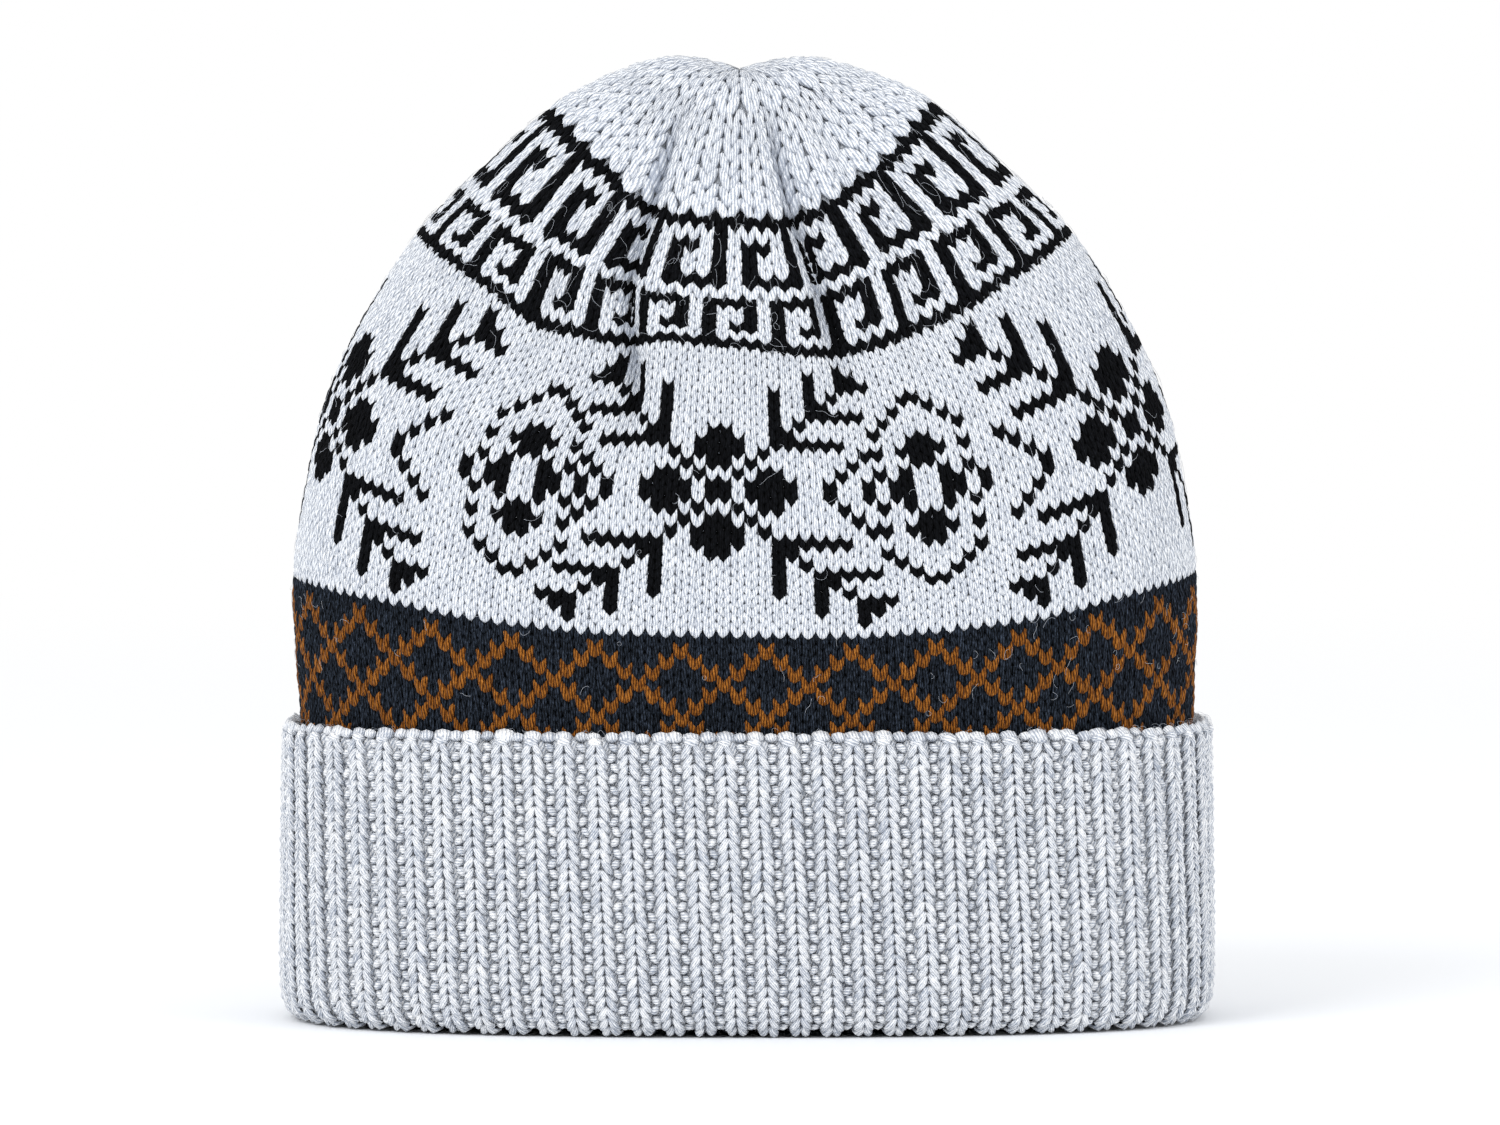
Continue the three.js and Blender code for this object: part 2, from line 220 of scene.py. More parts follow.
class Face:
    """A face of the hat that stitches are laid on. Subclasses say where a row and turn are."""

    ROW_STEP = 0.15
    TURN_STEP = 0.0012

    def point(self, row: Array, turn: Array) -> Array:
        """Finds points of the face itself."""
        raise NotImplementedError

    def settle(self, row: Array, turn: Array) -> Array:
        """Finds the turn where a place on the knitting comes to lie, which is the same unless it folds."""
        return turn

    def crease_shade_share(self, row: Array, turn: Array) -> Array:
        """Says how much of a crease's painted shade a place gets, from 0 to 1."""
        return np.zeros(np.shape(turn))

    def outward(self, row: Array, turn: Array) -> Array:
        """Finds the outward direction, from a short step along the face each way."""
        round_hat = self.point(row, turn + self.TURN_STEP) - self.point(row, turn - self.TURN_STEP)
        down = self.point(row + self.ROW_STEP, turn) - self.point(row - self.ROW_STEP, turn)
        normal = np.cross(down, round_hat)
        return normal / np.maximum(np.linalg.norm(normal, axis=-1, keepdims=True), 1e-9)

    def place(self, row: Array, turn: Array, out: Array) -> Array:
        """Finds points at a height over the face.

        Args:
            row: Rows of knitting, one for each point.
            turn: Turns, one for each point.
            out: Heights over the face in millimetres, one for each point.

        Returns:
            One x, y and z in millimetres for each point.
        """
        return self.point(row, turn) + self.outward(row, turn) * np.asarray(out)[..., None]


class BodyFace(Face):
    """The outer face of the body, from the gather down to behind the cuff."""

    FIRST_ROW = 0.05                   # the face is not read nearer the gather than this
    FOLD_LINE = (-0.6, 1.4)            # how far past the key pattern the folds' lines run on
    CREASE_SHADE_POWER = 3                   # how closely the painted shade of a crease keeps to its bottom
    SETTLING_ROUNDS = 10

    def column(self, name: str, row: Array) -> Array:
        """Follows one column of the stations along a smooth curve through the table."""
        rows = np.array([s.row for s in STATIONS])
        values = np.array([getattr(s, name) for s in STATIONS])
        before = np.maximum(np.arange(len(rows)) - 1, 0)
        after = np.minimum(np.arange(len(rows)) + 1, len(rows) - 1)
        slopes = (values[after] - values[before]) / (rows[after] - rows[before])
        i = np.clip(np.searchsorted(rows, row) - 1, 0, len(rows) - 2)
        span = rows[i + 1] - rows[i]
        t = (row - rows[i]) / span
        ease = t * t * (3.0 - 2.0 * t)
        leave = t * (1.0 - t) * (1.0 - t) * span * slopes[i]
        arrive = t * t * (t - 1.0) * span * slopes[i + 1]
        return values[i] * (1.0 - ease) + values[i + 1] * ease + leave + arrive

    @staticmethod
    def fold_share(fold: Fold, row: Array) -> Array:
        """Says how much of its full depth a fold has at a row."""
        return smoothstep(row, FOLD_START, FOLD_FULL) * (1.0 - smoothstep(row, fold.eases, fold.end))

    def girth(self, row: Array) -> Array:
        """Gives the way round the hat at a row."""
        return math.pi * (self.column("half_width", row) + self.column("half_depth", row))

    @staticmethod
    def fold_turn(fold: Fold, row: Array) -> Array:
        """Follows a fold down its slightly slanted line."""
        share = np.clip((row - KEY_TOP_ROW) / (KEY_FOOT_ROW - KEY_TOP_ROW), *BodyFace.FOLD_LINE)
        return mix(fold.turn_above, fold.turn_below, share)

    @staticmethod
    def mirrored(turn: Array) -> Array:
        """Maps a turn on the back of the hat to the turn straight in front of it."""
        near = turn - np.round(turn)
        return np.where(np.abs(near) <= 0.25, near, np.sign(near) * 0.5 - near)

    def crease_shade_share(self, row: Array, turn: Array) -> Array:
        """Says how much of the creases' painted shade a place gets, from 0 to 1, by how deep it lies in a
        crease.
        """
        deepest = max(fold.depth for fold in FOLDS)
        return (self.sunk(row, turn) / deepest) ** self.CREASE_SHADE_POWER

    def sunk(self, row: Array, turn: Array) -> Array:
        """Says how far the folds pull the wall in."""
        near = self.mirrored(turn)
        reach = FOLD_REACH / self.girth(row)
        depth = np.zeros_like(near)
        for fold in FOLDS:
            away = np.minimum(np.abs(near - self.fold_turn(fold, row)) / reach, 1.0)
            wave = 0.5 * (1.0 + np.cos(math.pi * away))
            depth = depth + fold.depth * self.fold_share(fold, row) * wave**FOLD_SHARPNESS
        return depth

    def drift(self, row: Array, turn: Array) -> Array:
        """Says how far a row's line rises or drops where the hat draws in."""
        near = self.mirrored(turn)
        turns = [line[0] for line in DRIFTS]
        ends = (DRIFT_START, *DRIFT_ROWS, DRIFT_END)
        rise = np.zeros_like(near)
        for i in range(len(DRIFT_ROWS)):
            share = np.interp(row, ends[i : i + 3], [0.0, 1.0, 0.0])
            rise = rise + share * np.interp(near, turns, [line[i + 1] for line in DRIFTS])
        return rise

    def settle(self, row: Array, turn: Array) -> Array:
        """Finds the turn where a place on the knitting comes to lie, with some tucked into the folds."""
        reach = FOLD_REACH / self.girth(row)
        target = turn - np.round(turn)
        tucks = []
        for fold in FOLDS:
            front = self.fold_turn(fold, row)
            hidden = fold.hidden * self.fold_share(fold, row) / self.girth(row)
            tucks += [(front, hidden), (np.sign(front) * 0.5 - front, hidden)]
        whole = 1.0 + sum(hidden for _, hidden in tucks)
        place = target
        for _ in range(self.SETTLING_ROUNDS):
            tucked = np.zeros_like(place)
            for middle, hidden in tucks:
                passed = smoothstep(place, middle - reach, middle + reach)
                tucked = tucked + hidden * (passed - (middle < 0.0))
            place = target * whole - tucked
        return place

    def point(self, row: Array, turn: Array) -> Array:
        """Finds points of the body's face."""
        row = np.maximum(row, self.FIRST_ROW)
        across, back = OVAL.at(turn)
        share = smoothstep(row, 0.0, ROUND_ROWS)
        across = mix(np.sin(2.0 * math.pi * turn), across, share)
        back = mix(-np.cos(2.0 * math.pi * turn), back, share)
        sunk = self.sunk(row, turn)
        lean = np.interp(row, LEAN_ROWS, LEANS)
        x = (self.column("half_width", row) - sunk) * across + lean
        y = (self.column("half_depth", row) - sunk) * back
        z = mix(self.column("side_z", row), self.column("front_z", row), back * back) + self.drift(row, turn)
        return np.stack([x, y, z], axis=-1)


class CuffFace(Face):
    """The face of the turned-up cuff, from behind its loose edge, down the outside and up the inside."""

    LEAN = 0.0055         # the ribs lean this much of a turn from the edge down to the fold
    PATH = (              # how far out from the inside of the wall, and how high
        (WALL + CUFF_SLOT + 0.2, 67.0),
        (WALL + CUFF_SLOT + 0.3, 69.5),
        (WALL + CUFF_SLOT + 1.0, 71.4),
        (WALL + CUFF_SLOT + 2.0, 71.9),
        (WALL + CUFF_SLOT + 2.8, 71.2),
        (WALL + CUFF_SLOT + 3.2, 69.5),
        (7.3, 45.0),
        (7.65, 20.0),
        (7.55, 8.0),
        (6.9, 4.4),
        (5.6, 2.1),
        (3.9, 1.3),
        (2.3, 2.1),
        (1.2, 4.4),
        (1.0, 9.0),
        (1.0, 60.0),
    )

    def __init__(self) -> None:
        """Rounds the path's corners and measures the way along it from the loose edge."""
        out, z = (np.array(values) for values in zip(*self.PATH))
        for _ in range(2):
            out, z = self.cut_corners(out), self.cut_corners(z)
        self.out, self.z = out, z
        walked = np.concatenate([[0.0], np.cumsum(np.hypot(np.diff(out), np.diff(z)))])
        edge = walked[int(np.argmax(z))]
        self.rows = (walked - edge) / ROW_HEIGHT

    @staticmethod
    def cut_corners(values: Array) -> Array:
        """Replaces each corner by two points, a quarter of the way along its sides."""
        early = 0.75 * values[:-1] + 0.25 * values[1:]
        late = 0.25 * values[:-1] + 0.75 * values[1:]
        inner = np.stack([early, late], axis=1).ravel()
        return np.concatenate([values[:1], inner, values[-1:]])

    def point(self, row: Array, turn: Array) -> Array:
        """Finds points of the cuff's face."""
        out = np.interp(row, self.rows, self.out)
        z = np.interp(row, self.rows, self.z)
        across, back = OVAL.at(turn + self.LEAN * (1.0 - z / CUFF_HEIGHT))
        x = (LOWEST.half_width - WALL + out) * across
        y = (LOWEST.half_depth - WALL + out) * back
        return np.stack([x, y, z], axis=-1)


BODY_FACE = BodyFace()
CUFF_FACE = CuffFace()


def empty_tree(owner: bpy.types.Material | bpy.types.World) -> Tree:
    """Gives a material or world an empty node tree."""
    owner.use_nodes = True
    owner.node_tree.nodes.clear()
    return owner.node_tree


def add_node(tree: Tree, kind: str, inputs: dict | None = None, **settings: object) -> bpy.types.Node:
    """Adds a node with its settings and fills its inputs.

    Args:
        tree: The node tree to add to.
        kind: The node's type name.
        inputs: Input name or number to a value, or to the output socket that it takes its value from.
        settings: Properties of the node.

    Returns:
        The new node.
    """
    node = tree.nodes.new(kind)
    for name, value in settings.items():
        setattr(node, name, value)
    for key, value in (inputs or {}).items():
        if isinstance(value, Socket):
            tree.links.new(value, node.inputs[key])
        else:
            node.inputs[key].default_value = value
    return node


def combine(tree: Tree, operation: str, *values: object) -> Socket:
    """Works out one value from others with a math node."""
    return add_node(tree, "ShaderNodeMath", dict(enumerate(values)), operation=operation).outputs[0]


@dataclass(frozen=True)
class WoolFinish:
    """Spun wool: soft, matt and fuzzy, its plies and single fibres showing as fine twisted lines.

    The light colour is the fibres that catch the eye, and the deep one the darker fibres that are spun in and
    the painted shade of the lines between the plies, of the strands' sides, of the creases and of the gaps.
    """

    name: str
    slot: str
    light: str
    middle: str
    deep: str
    marl: float = 0.3          # how strongly darker and lighter fibres show
    groove_shade: float = 0.12       # painted shade: how much darker the lines between the plies are
    roughness: float = 0.82
    sheen: float = 0.25        # fuzz that lights up at grazing angles
    shine: float = 0.2
    ply_width: float = 0.68    # one ply of the yarn, in millimetres
    fibre_width: float = 0.17  # the fibres are finer, and are drawn this coarse so that they show
    cloud_width: float = 0.9   # patches of darker and lighter fibres

    DEEP_STOP, MIDDLE_STOP, LIGHT_STOP = 0.30, 0.48, 0.68    # where the colours lie on the ramp
    PLY_RISE = 1.6             # how much more the plies stand out than the fibres
    PLY_EDGE = 0.6             # the painted shade of the grooves reaches this far up the plies
    PLY_SLANT = -24.0          # degrees that the plies wind off the yarn's way
    PLY_WANDER = 0.8           # how unevenly they wind
    FIBRE_SLANT = -16.0
    FIBRE_LENGTH = 7.0         # in fibre widths
    WAVES = 20.0 / (2.0 * math.pi)    # ridges to a unit of length in a wave pattern of scale 1
    BUMP_DEPTH = 0.2           # in millimetres
    BUMP_STRENGTH = 0.7
    SHEEN_ROUGHNESS = 0.45

    def build(self) -> bpy.types.Material:
        """Makes the material.

        Returns:
            A material that reads the piece's yarn map, its stitch attribute and Object coordinates.
        """
        material = bpy.data.materials.new(self.name)
        tree = empty_tree(material)
        yarn = add_node(tree, "ShaderNodeUVMap", uv_map="yarn").outputs["UV"]
        fibres = self.fibres(tree, yarn)
        plies = self.plies(tree, yarn)
        height = combine(tree, "MULTIPLY_ADD", plies, self.PLY_RISE, fibres)
        relief = {"Strength": self.BUMP_STRENGTH, "Distance": self.BUMP_DEPTH * MM, "Height": height}
        bump = add_node(tree, "ShaderNodeBump", relief)
        wool = {
            "Base Color": self.colour(tree, fibres, plies),
            "Roughness": self.roughness,
            "Sheen Weight": self.sheen,
            "Sheen Roughness": self.SHEEN_ROUGHNESS,
            "Specular IOR Level": self.shine,
            "Normal": bump.outputs["Normal"],
        }
        shader = add_node(tree, "ShaderNodeBsdfPrincipled", wool)
        add_node(tree, "ShaderNodeOutputMaterial", {"Surface": shader.outputs["BSDF"]})
        return material

    def colour(self, tree: Tree, fibres: Socket, plies: Socket) -> Socket:
        """Colours the yarn from its fibres, its marl, the stitch's own tone with its painted shade, and the
        painted shade of the lines between the plies.

        Args:
            tree: The material's node tree.
            fibres: The fibres' pattern.
            plies: The plies' height.

        Returns:
            The colour.
        """
        place = add_node(tree, "ShaderNodeTexCoord").outputs["Object"]
        # the stitch attribute holds each stitch's own tone and its painted shade
        stitch = add_node(tree, "ShaderNodeAttribute", attribute_name="stitch").outputs["Fac"]
        clouds = self.noise(tree, place, 1.0 / (self.cloud_width * MM))
        share = {"Factor": self.marl, "A": fibres, "B": clouds}
        marled = add_node(tree, "ShaderNodeMix", share, data_type="FLOAT").outputs["Result"]
        # painted shade in the grooves between the plies
        edges = {"Value": plies, "From Max": self.PLY_EDGE, "To Min": -self.groove_shade, "To Max": 0.0}
        line = add_node(tree, "ShaderNodeMapRange", edges).outputs["Result"]
        tone = combine(tree, "ADD", combine(tree, "ADD", marled, stitch), line)
        ramp = add_node(tree, "ShaderNodeValToRGB", {"Fac": tone})
        stops = ramp.color_ramp.elements
        stops[0].position, stops[0].color = self.DEEP_STOP, linear(self.deep)
        stops[1].position, stops[1].color = self.LIGHT_STOP, linear(self.light)
        stops.new(self.MIDDLE_STOP).color = linear(self.middle)
        return ramp.outputs["Color"]

    def fibres(self, tree: Tree, yarn: Socket) -> Socket:
        """Draws single fibres as a noise stretched along the yarn and turned with its twist."""
        along = 1.0 / (self.FIBRE_LENGTH * self.fibre_width)
        turned = self.turned(tree, yarn, self.FIBRE_SLANT, (1.0 / self.fibre_width, along, 1.0))
        return self.noise(tree, turned, 1.0)

    def plies(self, tree: Tree, yarn: Socket) -> Socket:
        """Draws the plies as ridges that wind round the yarn at a slant, with 0 in the grooves between."""
        ridges = {
            "Vector": self.turned(tree, yarn, self.PLY_SLANT, (1.0, 1.0, 1.0)),
            "Scale": 1.0 / (self.WAVES * self.ply_width),
            "Distortion": self.PLY_WANDER,
            "Detail": 1.0,
        }
        wave = add_node(tree, "ShaderNodeTexWave", ridges, bands_direction="X", wave_profile="SIN")
        return wave.outputs["Fac"]

    @staticmethod
    def turned(tree: Tree, yarn: Socket, slant: float, scale: tuple[float, float, float]) -> Socket:
        """Turns the yarn map by some degrees and scales it."""
        change = {"Vector": yarn, "Rotation": (0.0, 0.0, math.radians(slant)), "Scale": scale}
        return add_node(tree, "ShaderNodeMapping", change).outputs["Vector"]

    @staticmethod
    def noise(tree: Tree, vector: Socket, scale: float) -> Socket:
        """Adds a soft noise of a little detail."""
        pattern = {"Vector": vector, "Scale": scale, "Detail": 2.0, "Roughness": 0.6}
        return add_node(tree, "ShaderNodeTexNoise", pattern).outputs["Fac"]


MATT = {"roughness": 0.95, "sheen": 0.0, "shine": 0.08}    # the dark yarns
FINISHES = {
    Yarn.WHITE: WoolFinish("off_white_wool", "white_yarn", "#FDFEFF", "#F4F7FB", "#A6AEBC", groove_shade=0.22),
    Yarn.BLACK: WoolFinish("black_wool", "black_yarn", "#1B1D22", "#0B0C0F", "#020203", **MATT),
    Yarn.CHARCOAL: WoolFinish(
        "charcoal_wool", "charcoal_yarn", "#485262", "#1F252E", "#050608", marl=0.35, groove_shade=0.18, **MATT
    ),
    Yarn.RUST: WoolFinish(
        "rust_wool", "rust_yarn", "#C4823A", "#8E551B", "#3A1D08", marl=0.35, groove_shade=0.24, roughness=0.95,
        sheen=0.05, shine=0.1,
    ),
    Yarn.CUFF: WoolFinish(
        "marled_grey_wool", "cuff_yarn", "#FFFFFF", "#F9FBFE", "#A2ABBA", marl=0.4, groove_shade=0.17
    ),
    Yarn.FIBRE: WoolFinish("stray_fibre", "white_yarn", "#DDE2EA", "#BFC5CF", "#9AA1AD", groove_shade=0.0),
}


@cache
def dyed(yarn: Yarn) -> bpy.types.Material:
    """Makes the yarn's material when it is first asked for, and keeps it."""
    return FINISHES[yarn].build()


def dress(obj: Piece, *yarns: Yarn) -> None:
    """Gives a piece its yarns and lets it ride on the hat's body."""
    obj.data.materials.clear()
    for yarn in yarns:
        obj.data.materials.append(dyed(yarn))
    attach(obj, BODY)


def deselect_all() -> None:
    """Leaves nothing selected, so that the next operator acts on the new piece alone."""
    bpy.ops.object.select_all(action="DESELECT")


def add_object(name: str, data: bpy.types.ID) -> Piece:
    """Puts a new object into the scene."""
    obj = bpy.data.objects.new(name, data)
    bpy.context.scene.collection.objects.link(obj)
    return obj


def corner_vertices(mesh: Mesh) -> Array:
    """Reads the number of the vertex at each corner of each face."""
    indices = np.empty(len(mesh.loops), dtype=np.int32)
    mesh.loops.foreach_get("vertex_index", indices)
    return indices


def thread(mesh: Mesh, places: Array, tones: Array) -> None:
    """Writes each vertex's place on the yarn, in millimetres, and its tone, painted shade included, into a
    mesh.
    """
    corners = places[corner_vertices(mesh)].astype(np.float32)
    mesh.uv_layers.new(name="yarn").data.foreach_set("uv", corners.ravel())
    mesh.attributes.new("stitch", "FLOAT", "POINT").data.foreach_set("value", tones.astype(np.float32))


@dataclass(frozen=True)
class Ring:
    """One section of a strand of yarn, in its stitch's own cell."""

    down: float          # rows below the stitch's middle
    across: float        # wales from the stitch's middle
    rise: float          # millimetres over the hat's face
    half: float = 0.0    # half the strand's width, in wales, and nothing at a tip
    high: float = 0.0    # millimetres from the section's flat underside to its top


@dataclass
class StrandMesh:
    """A strand in its cell: its vertices and faces, and for each vertex its place on the yarn and its lift.

    The lift is 1 on the strand's crest and 0 on its sides and tips, where the next strands press against it.
    The knitter paints shade on the strand where its lift is low.
    """

    points: Array
    faces: list[list[int]]
    yarn: Array
    lift: Array


@dataclass(frozen=True)
class Strand:
    """A short length of yarn that bulges out of the knitting between two tips that dive into it."""

    rings: tuple[Ring, ...]
    row_height: float
    wale_width: float
    sideways: bool = False    # the strand runs across the wale, and its rings are given as if it ran down

    SIDES = 8             # of the round section before its underside is cut away
    UNDERSIDE = -0.1      # below this height in the section
    NEAR = 1e-4           # rows that are no further apart than this are the same
    LEAST = 1e-3          # a tip's width and height count as this when places on it are measured
    TIP_SHARE = 0.02      # an end is drawn in to this share of its size, and then merged
    CORE = 0.3            # a vertex nearer the section's middle than this share of its size is a tip
    CREST_GAIN = 1.25     # the lift falls off only past this share of the way to a tip

    def model(self) -> StrandMesh:
        """Models the strand: half a round section, drawn out from ring to ring and closed at both tips.

        Returns:
            The strand, in its own cell.
        """
        deselect_all()
        bpy.ops.mesh.primitive_circle_add(
            vertices=self.SIDES, radius=1.0, fill_type="NGON", rotation=(math.pi / 2, 0, 0)
        )
        bpy.ops.object.transform_apply(location=False, rotation=True, scale=False)
        obj = bpy.context.object
        bpy.ops.object.mode_set(mode="EDIT")
        self.select(obj, lambda co: co.z < self.UNDERSIDE)
        bpy.ops.mesh.dissolve_verts()
        bpy.ops.mesh.select_all(action="SELECT")
        full = self.rings[1:-1]
        first = full[0]
        bpy.ops.transform.resize(value=(first.half, 1.0, first.high), center_override=(0, 0, 0))
        bpy.ops.transform.translate(value=(first.across, first.down, first.rise))
        for last, ring in zip(full, full[1:]):
            self.draw_out(last, ring)
        self.close_tip(full[-1], self.rings[-1])
        self.select(obj, lambda co: abs(co.y - first.down) < self.NEAR)
        self.close_tip(first, self.rings[0])
        bpy.ops.mesh.select_all(action="SELECT")
        bpy.ops.mesh.normals_make_consistent(inside=False)
        bpy.ops.object.mode_set(mode="OBJECT")
        return self.take(obj)

    @staticmethod
    def select(obj: Piece, wanted: Callable[[Vector], bool]) -> None:
        """Selects the vertices whose place passes a test, and the faces between them."""
        mesh = bmesh.from_edit_mesh(obj.data)
        for vertex in mesh.verts:
            vertex.select_set(wanted(vertex.co))
        mesh.select_flush_mode()
        mesh.select_flush(True)
        bmesh.update_edit_mesh(obj.data)

    @staticmethod
    def draw_out(last: Ring, ring: Ring) -> None:
        """Extrudes the selected end to the next ring's place and size."""
        step = (ring.across - last.across, ring.down - last.down, ring.rise - last.rise)
        bpy.ops.mesh.extrude_region_move(TRANSFORM_OT_translate={"value": step})
        bpy.ops.transform.resize(
            value=(ring.half / last.half, 1.0, ring.high / last.high),
            center_override=(ring.across, ring.down, ring.rise),
        )

    @staticmethod
    def close_tip(last: Ring, tip: Ring) -> None:
        """Draws the selected end out to a point."""
        share = Strand.TIP_SHARE
        Strand.draw_out(last, Ring(tip.down, tip.across, tip.rise, last.half * share, last.high * share))
        bpy.ops.mesh.merge(type="COLLAPSE")

    def take(self, obj: Piece) -> StrandMesh:
        """Reads the modelled strand and removes its object.

        Args:
            obj: The modelled strand.

        Returns:
            Its points, faces, yarn map and lift.
        """
        mesh = obj.data
        points = np.array([v.co for v in mesh.vertices])
        faces = [list(p.vertices) for p in mesh.polygons]
        names = ("down", "across", "rise", "half", "high")
        values = {name: np.array([getattr(ring, name) for ring in self.rings]) for name in names}
        at = {name: np.interp(points[:, 1], values["down"], values[name]) for name in names}
        side = (points[:, 0] - at["across"]) / np.maximum(at["half"], self.LEAST)
        top = (points[:, 2] - at["rise"]) / np.maximum(at["high"], self.LEAST)
        angle = np.arctan2(np.maximum(top, 0.0), side) / math.pi
        angle[np.hypot(side, top) < self.CORE] = 0.5
        girth = math.pi / 2 * (max(values["half"]) * self.wale_width + max(values["high"]))
        yarn = np.stack([angle * girth, points[:, 1] * self.row_height], axis=1)
        full = at["high"] / max(values["high"])
        lift = np.clip(top, 0.0, 1.0) * np.clip(full * self.CREST_GAIN, 0.0, 1.0)
        if self.sideways:
            points = points[:, [1, 0, 2]]
            faces = [face[::-1] for face in faces]
        bpy.data.objects.remove(obj)
        bpy.data.meshes.remove(mesh)
        return StrandMesh(points, faces, yarn, lift)


def strand(row_height: float, wale_width: float, *rings: tuple[float, ...]) -> Strand:
    """Sets up a strand that runs down the wale.

    Args:
        row_height: In millimetres.
        wale_width: In millimetres.
        rings: The numbers of one Ring each, from the upper tip to the lower.

    Returns:
        The strand.
    """
    return Strand(tuple(Ring(*ring) for ring in rings), row_height, wale_width)


def bead(*rings: tuple[float, ...]) -> Strand:
    """Sets up a strand across a rib, the same both ways, from its first tip to its middle."""
    rest = [(-down, 0.0 - across, *section) for down, across, *section in reversed(rings[:-1])]
    return replace(strand(RIB_WIDTH, ROW_HEIGHT, *rings, *rest), sideways=True)


LEG = strand(
    ROW_HEIGHT,
    WALE_WIDTH,
    (-0.97, 0.46, -0.60),
    (-0.57, 0.37, -0.12, 0.210, 0.72),
    (0.0, 0.25, 0.0, 0.278, 0.92),
    (0.58, 0.135, 0.0, 0.218, 0.82),
    (1.04, 0.03, -0.30),
)
FULL_LEG = strand(
    ROW_HEIGHT,
    WALE_WIDTH,
    (-1.05, 0.50, -0.60),
    (-0.66, 0.41, -0.05, 0.260, 0.80),
    (0.0, 0.27, 0.08, 0.325, 1.05),
    (0.66, 0.14, 0.06, 0.275, 0.92),
    (1.05, 0.05, -0.35),
)
CROWN_LEG = strand(
    3.0,
    4.0,
    (-1.00, 0.48, -2.0),
    (-0.60, 0.395, -1.20, 0.200, 1.00),
    (0.0, 0.26, -0.80, 0.265, 1.40),
    (0.62, 0.125, -0.68, 0.215, 1.20),
    (1.22, 0.015, -1.20),
)
PINCH = strand(
    3.0,
    3.0,
    (-1.3, 0.0, -2.2),
    (-0.7, 0.0, -1.2, 0.40, 1.2),
    (0.1, 0.0, -0.9, 0.46, 1.5),
    (0.9, 0.0, -1.0, 0.30, 1.3),
    (1.5, 0.0, -1.9),
)
RIB_LEG = strand(
    ROW_HEIGHT,
    RIB_WIDTH,
    (-0.98, 0.030, -0.60),
    (-0.58, 0.088, -0.05, 0.112, 0.95),
    (0.0, 0.168, 0.08, 0.146, 1.25),
    (0.56, 0.245, -0.30, 0.120, 1.05),
    (1.02, 0.315, -1.30),
)
RIB_EDGE = strand(
    ROW_HEIGHT,
    RIB_WIDTH,
    (-1.7, 0.0, -1.1),
    (-0.9, 0.0, -0.7, 0.240, 1.1),
    (0.0, 0.0, -0.45, 0.335, 1.6),
    (0.6, 0.0, -0.4, 0.290, 1.3),
    (1.1, 0.0, -1.0),
)
VALLEY_EDGE = strand(
    ROW_HEIGHT,
    RIB_WIDTH,
    (-1.6, 0.0, -1.2),
    (-0.8, 0.0, -0.8, 0.190, 1.1),
    (0.0, 0.0, -0.55, 0.265, 1.5),
    (0.5, 0.0, -0.5, 0.230, 1.2),
    (0.9, 0.0, -1.2),
)
PURL_BEAD = bead((-0.220, 0.24, -1.9), (-0.130, 0.13, -1.45, 0.40, 1.0), (0.0, 0.0, -1.25, 0.49, 1.25))
CAP_BEAD = bead((-0.260, 0.0, -0.9), (-0.170, 0.0, -0.2, 0.36, 1.0), (0.0, 0.0, 0.0, 0.46, 1.3))


@dataclass
class Stitches:
    """Where copies of a strand go: the middle of each stitch's cell, and which copies are mirrored."""

    rows: Array
    wales: Array
    mirrored: Array

    @staticmethod
    def both_legs(rows: Array, wales: Array) -> "Stitches":
        """Gives each stitch a left and a right leg."""
        sides = np.repeat([False, True], len(rows))
        return Stitches(np.tile(rows, 2), np.tile(wales, 2), sides)


def every_stitch(rows: int, wales: int) -> tuple[Array, Array]:
    """Numbers the rows and wales of a piece of knitting, stitch by stitch."""
    row, wale = np.meshgrid(np.arange(rows), np.arange(wales), indexing="ij")
    return row.ravel(), wale.ravel()


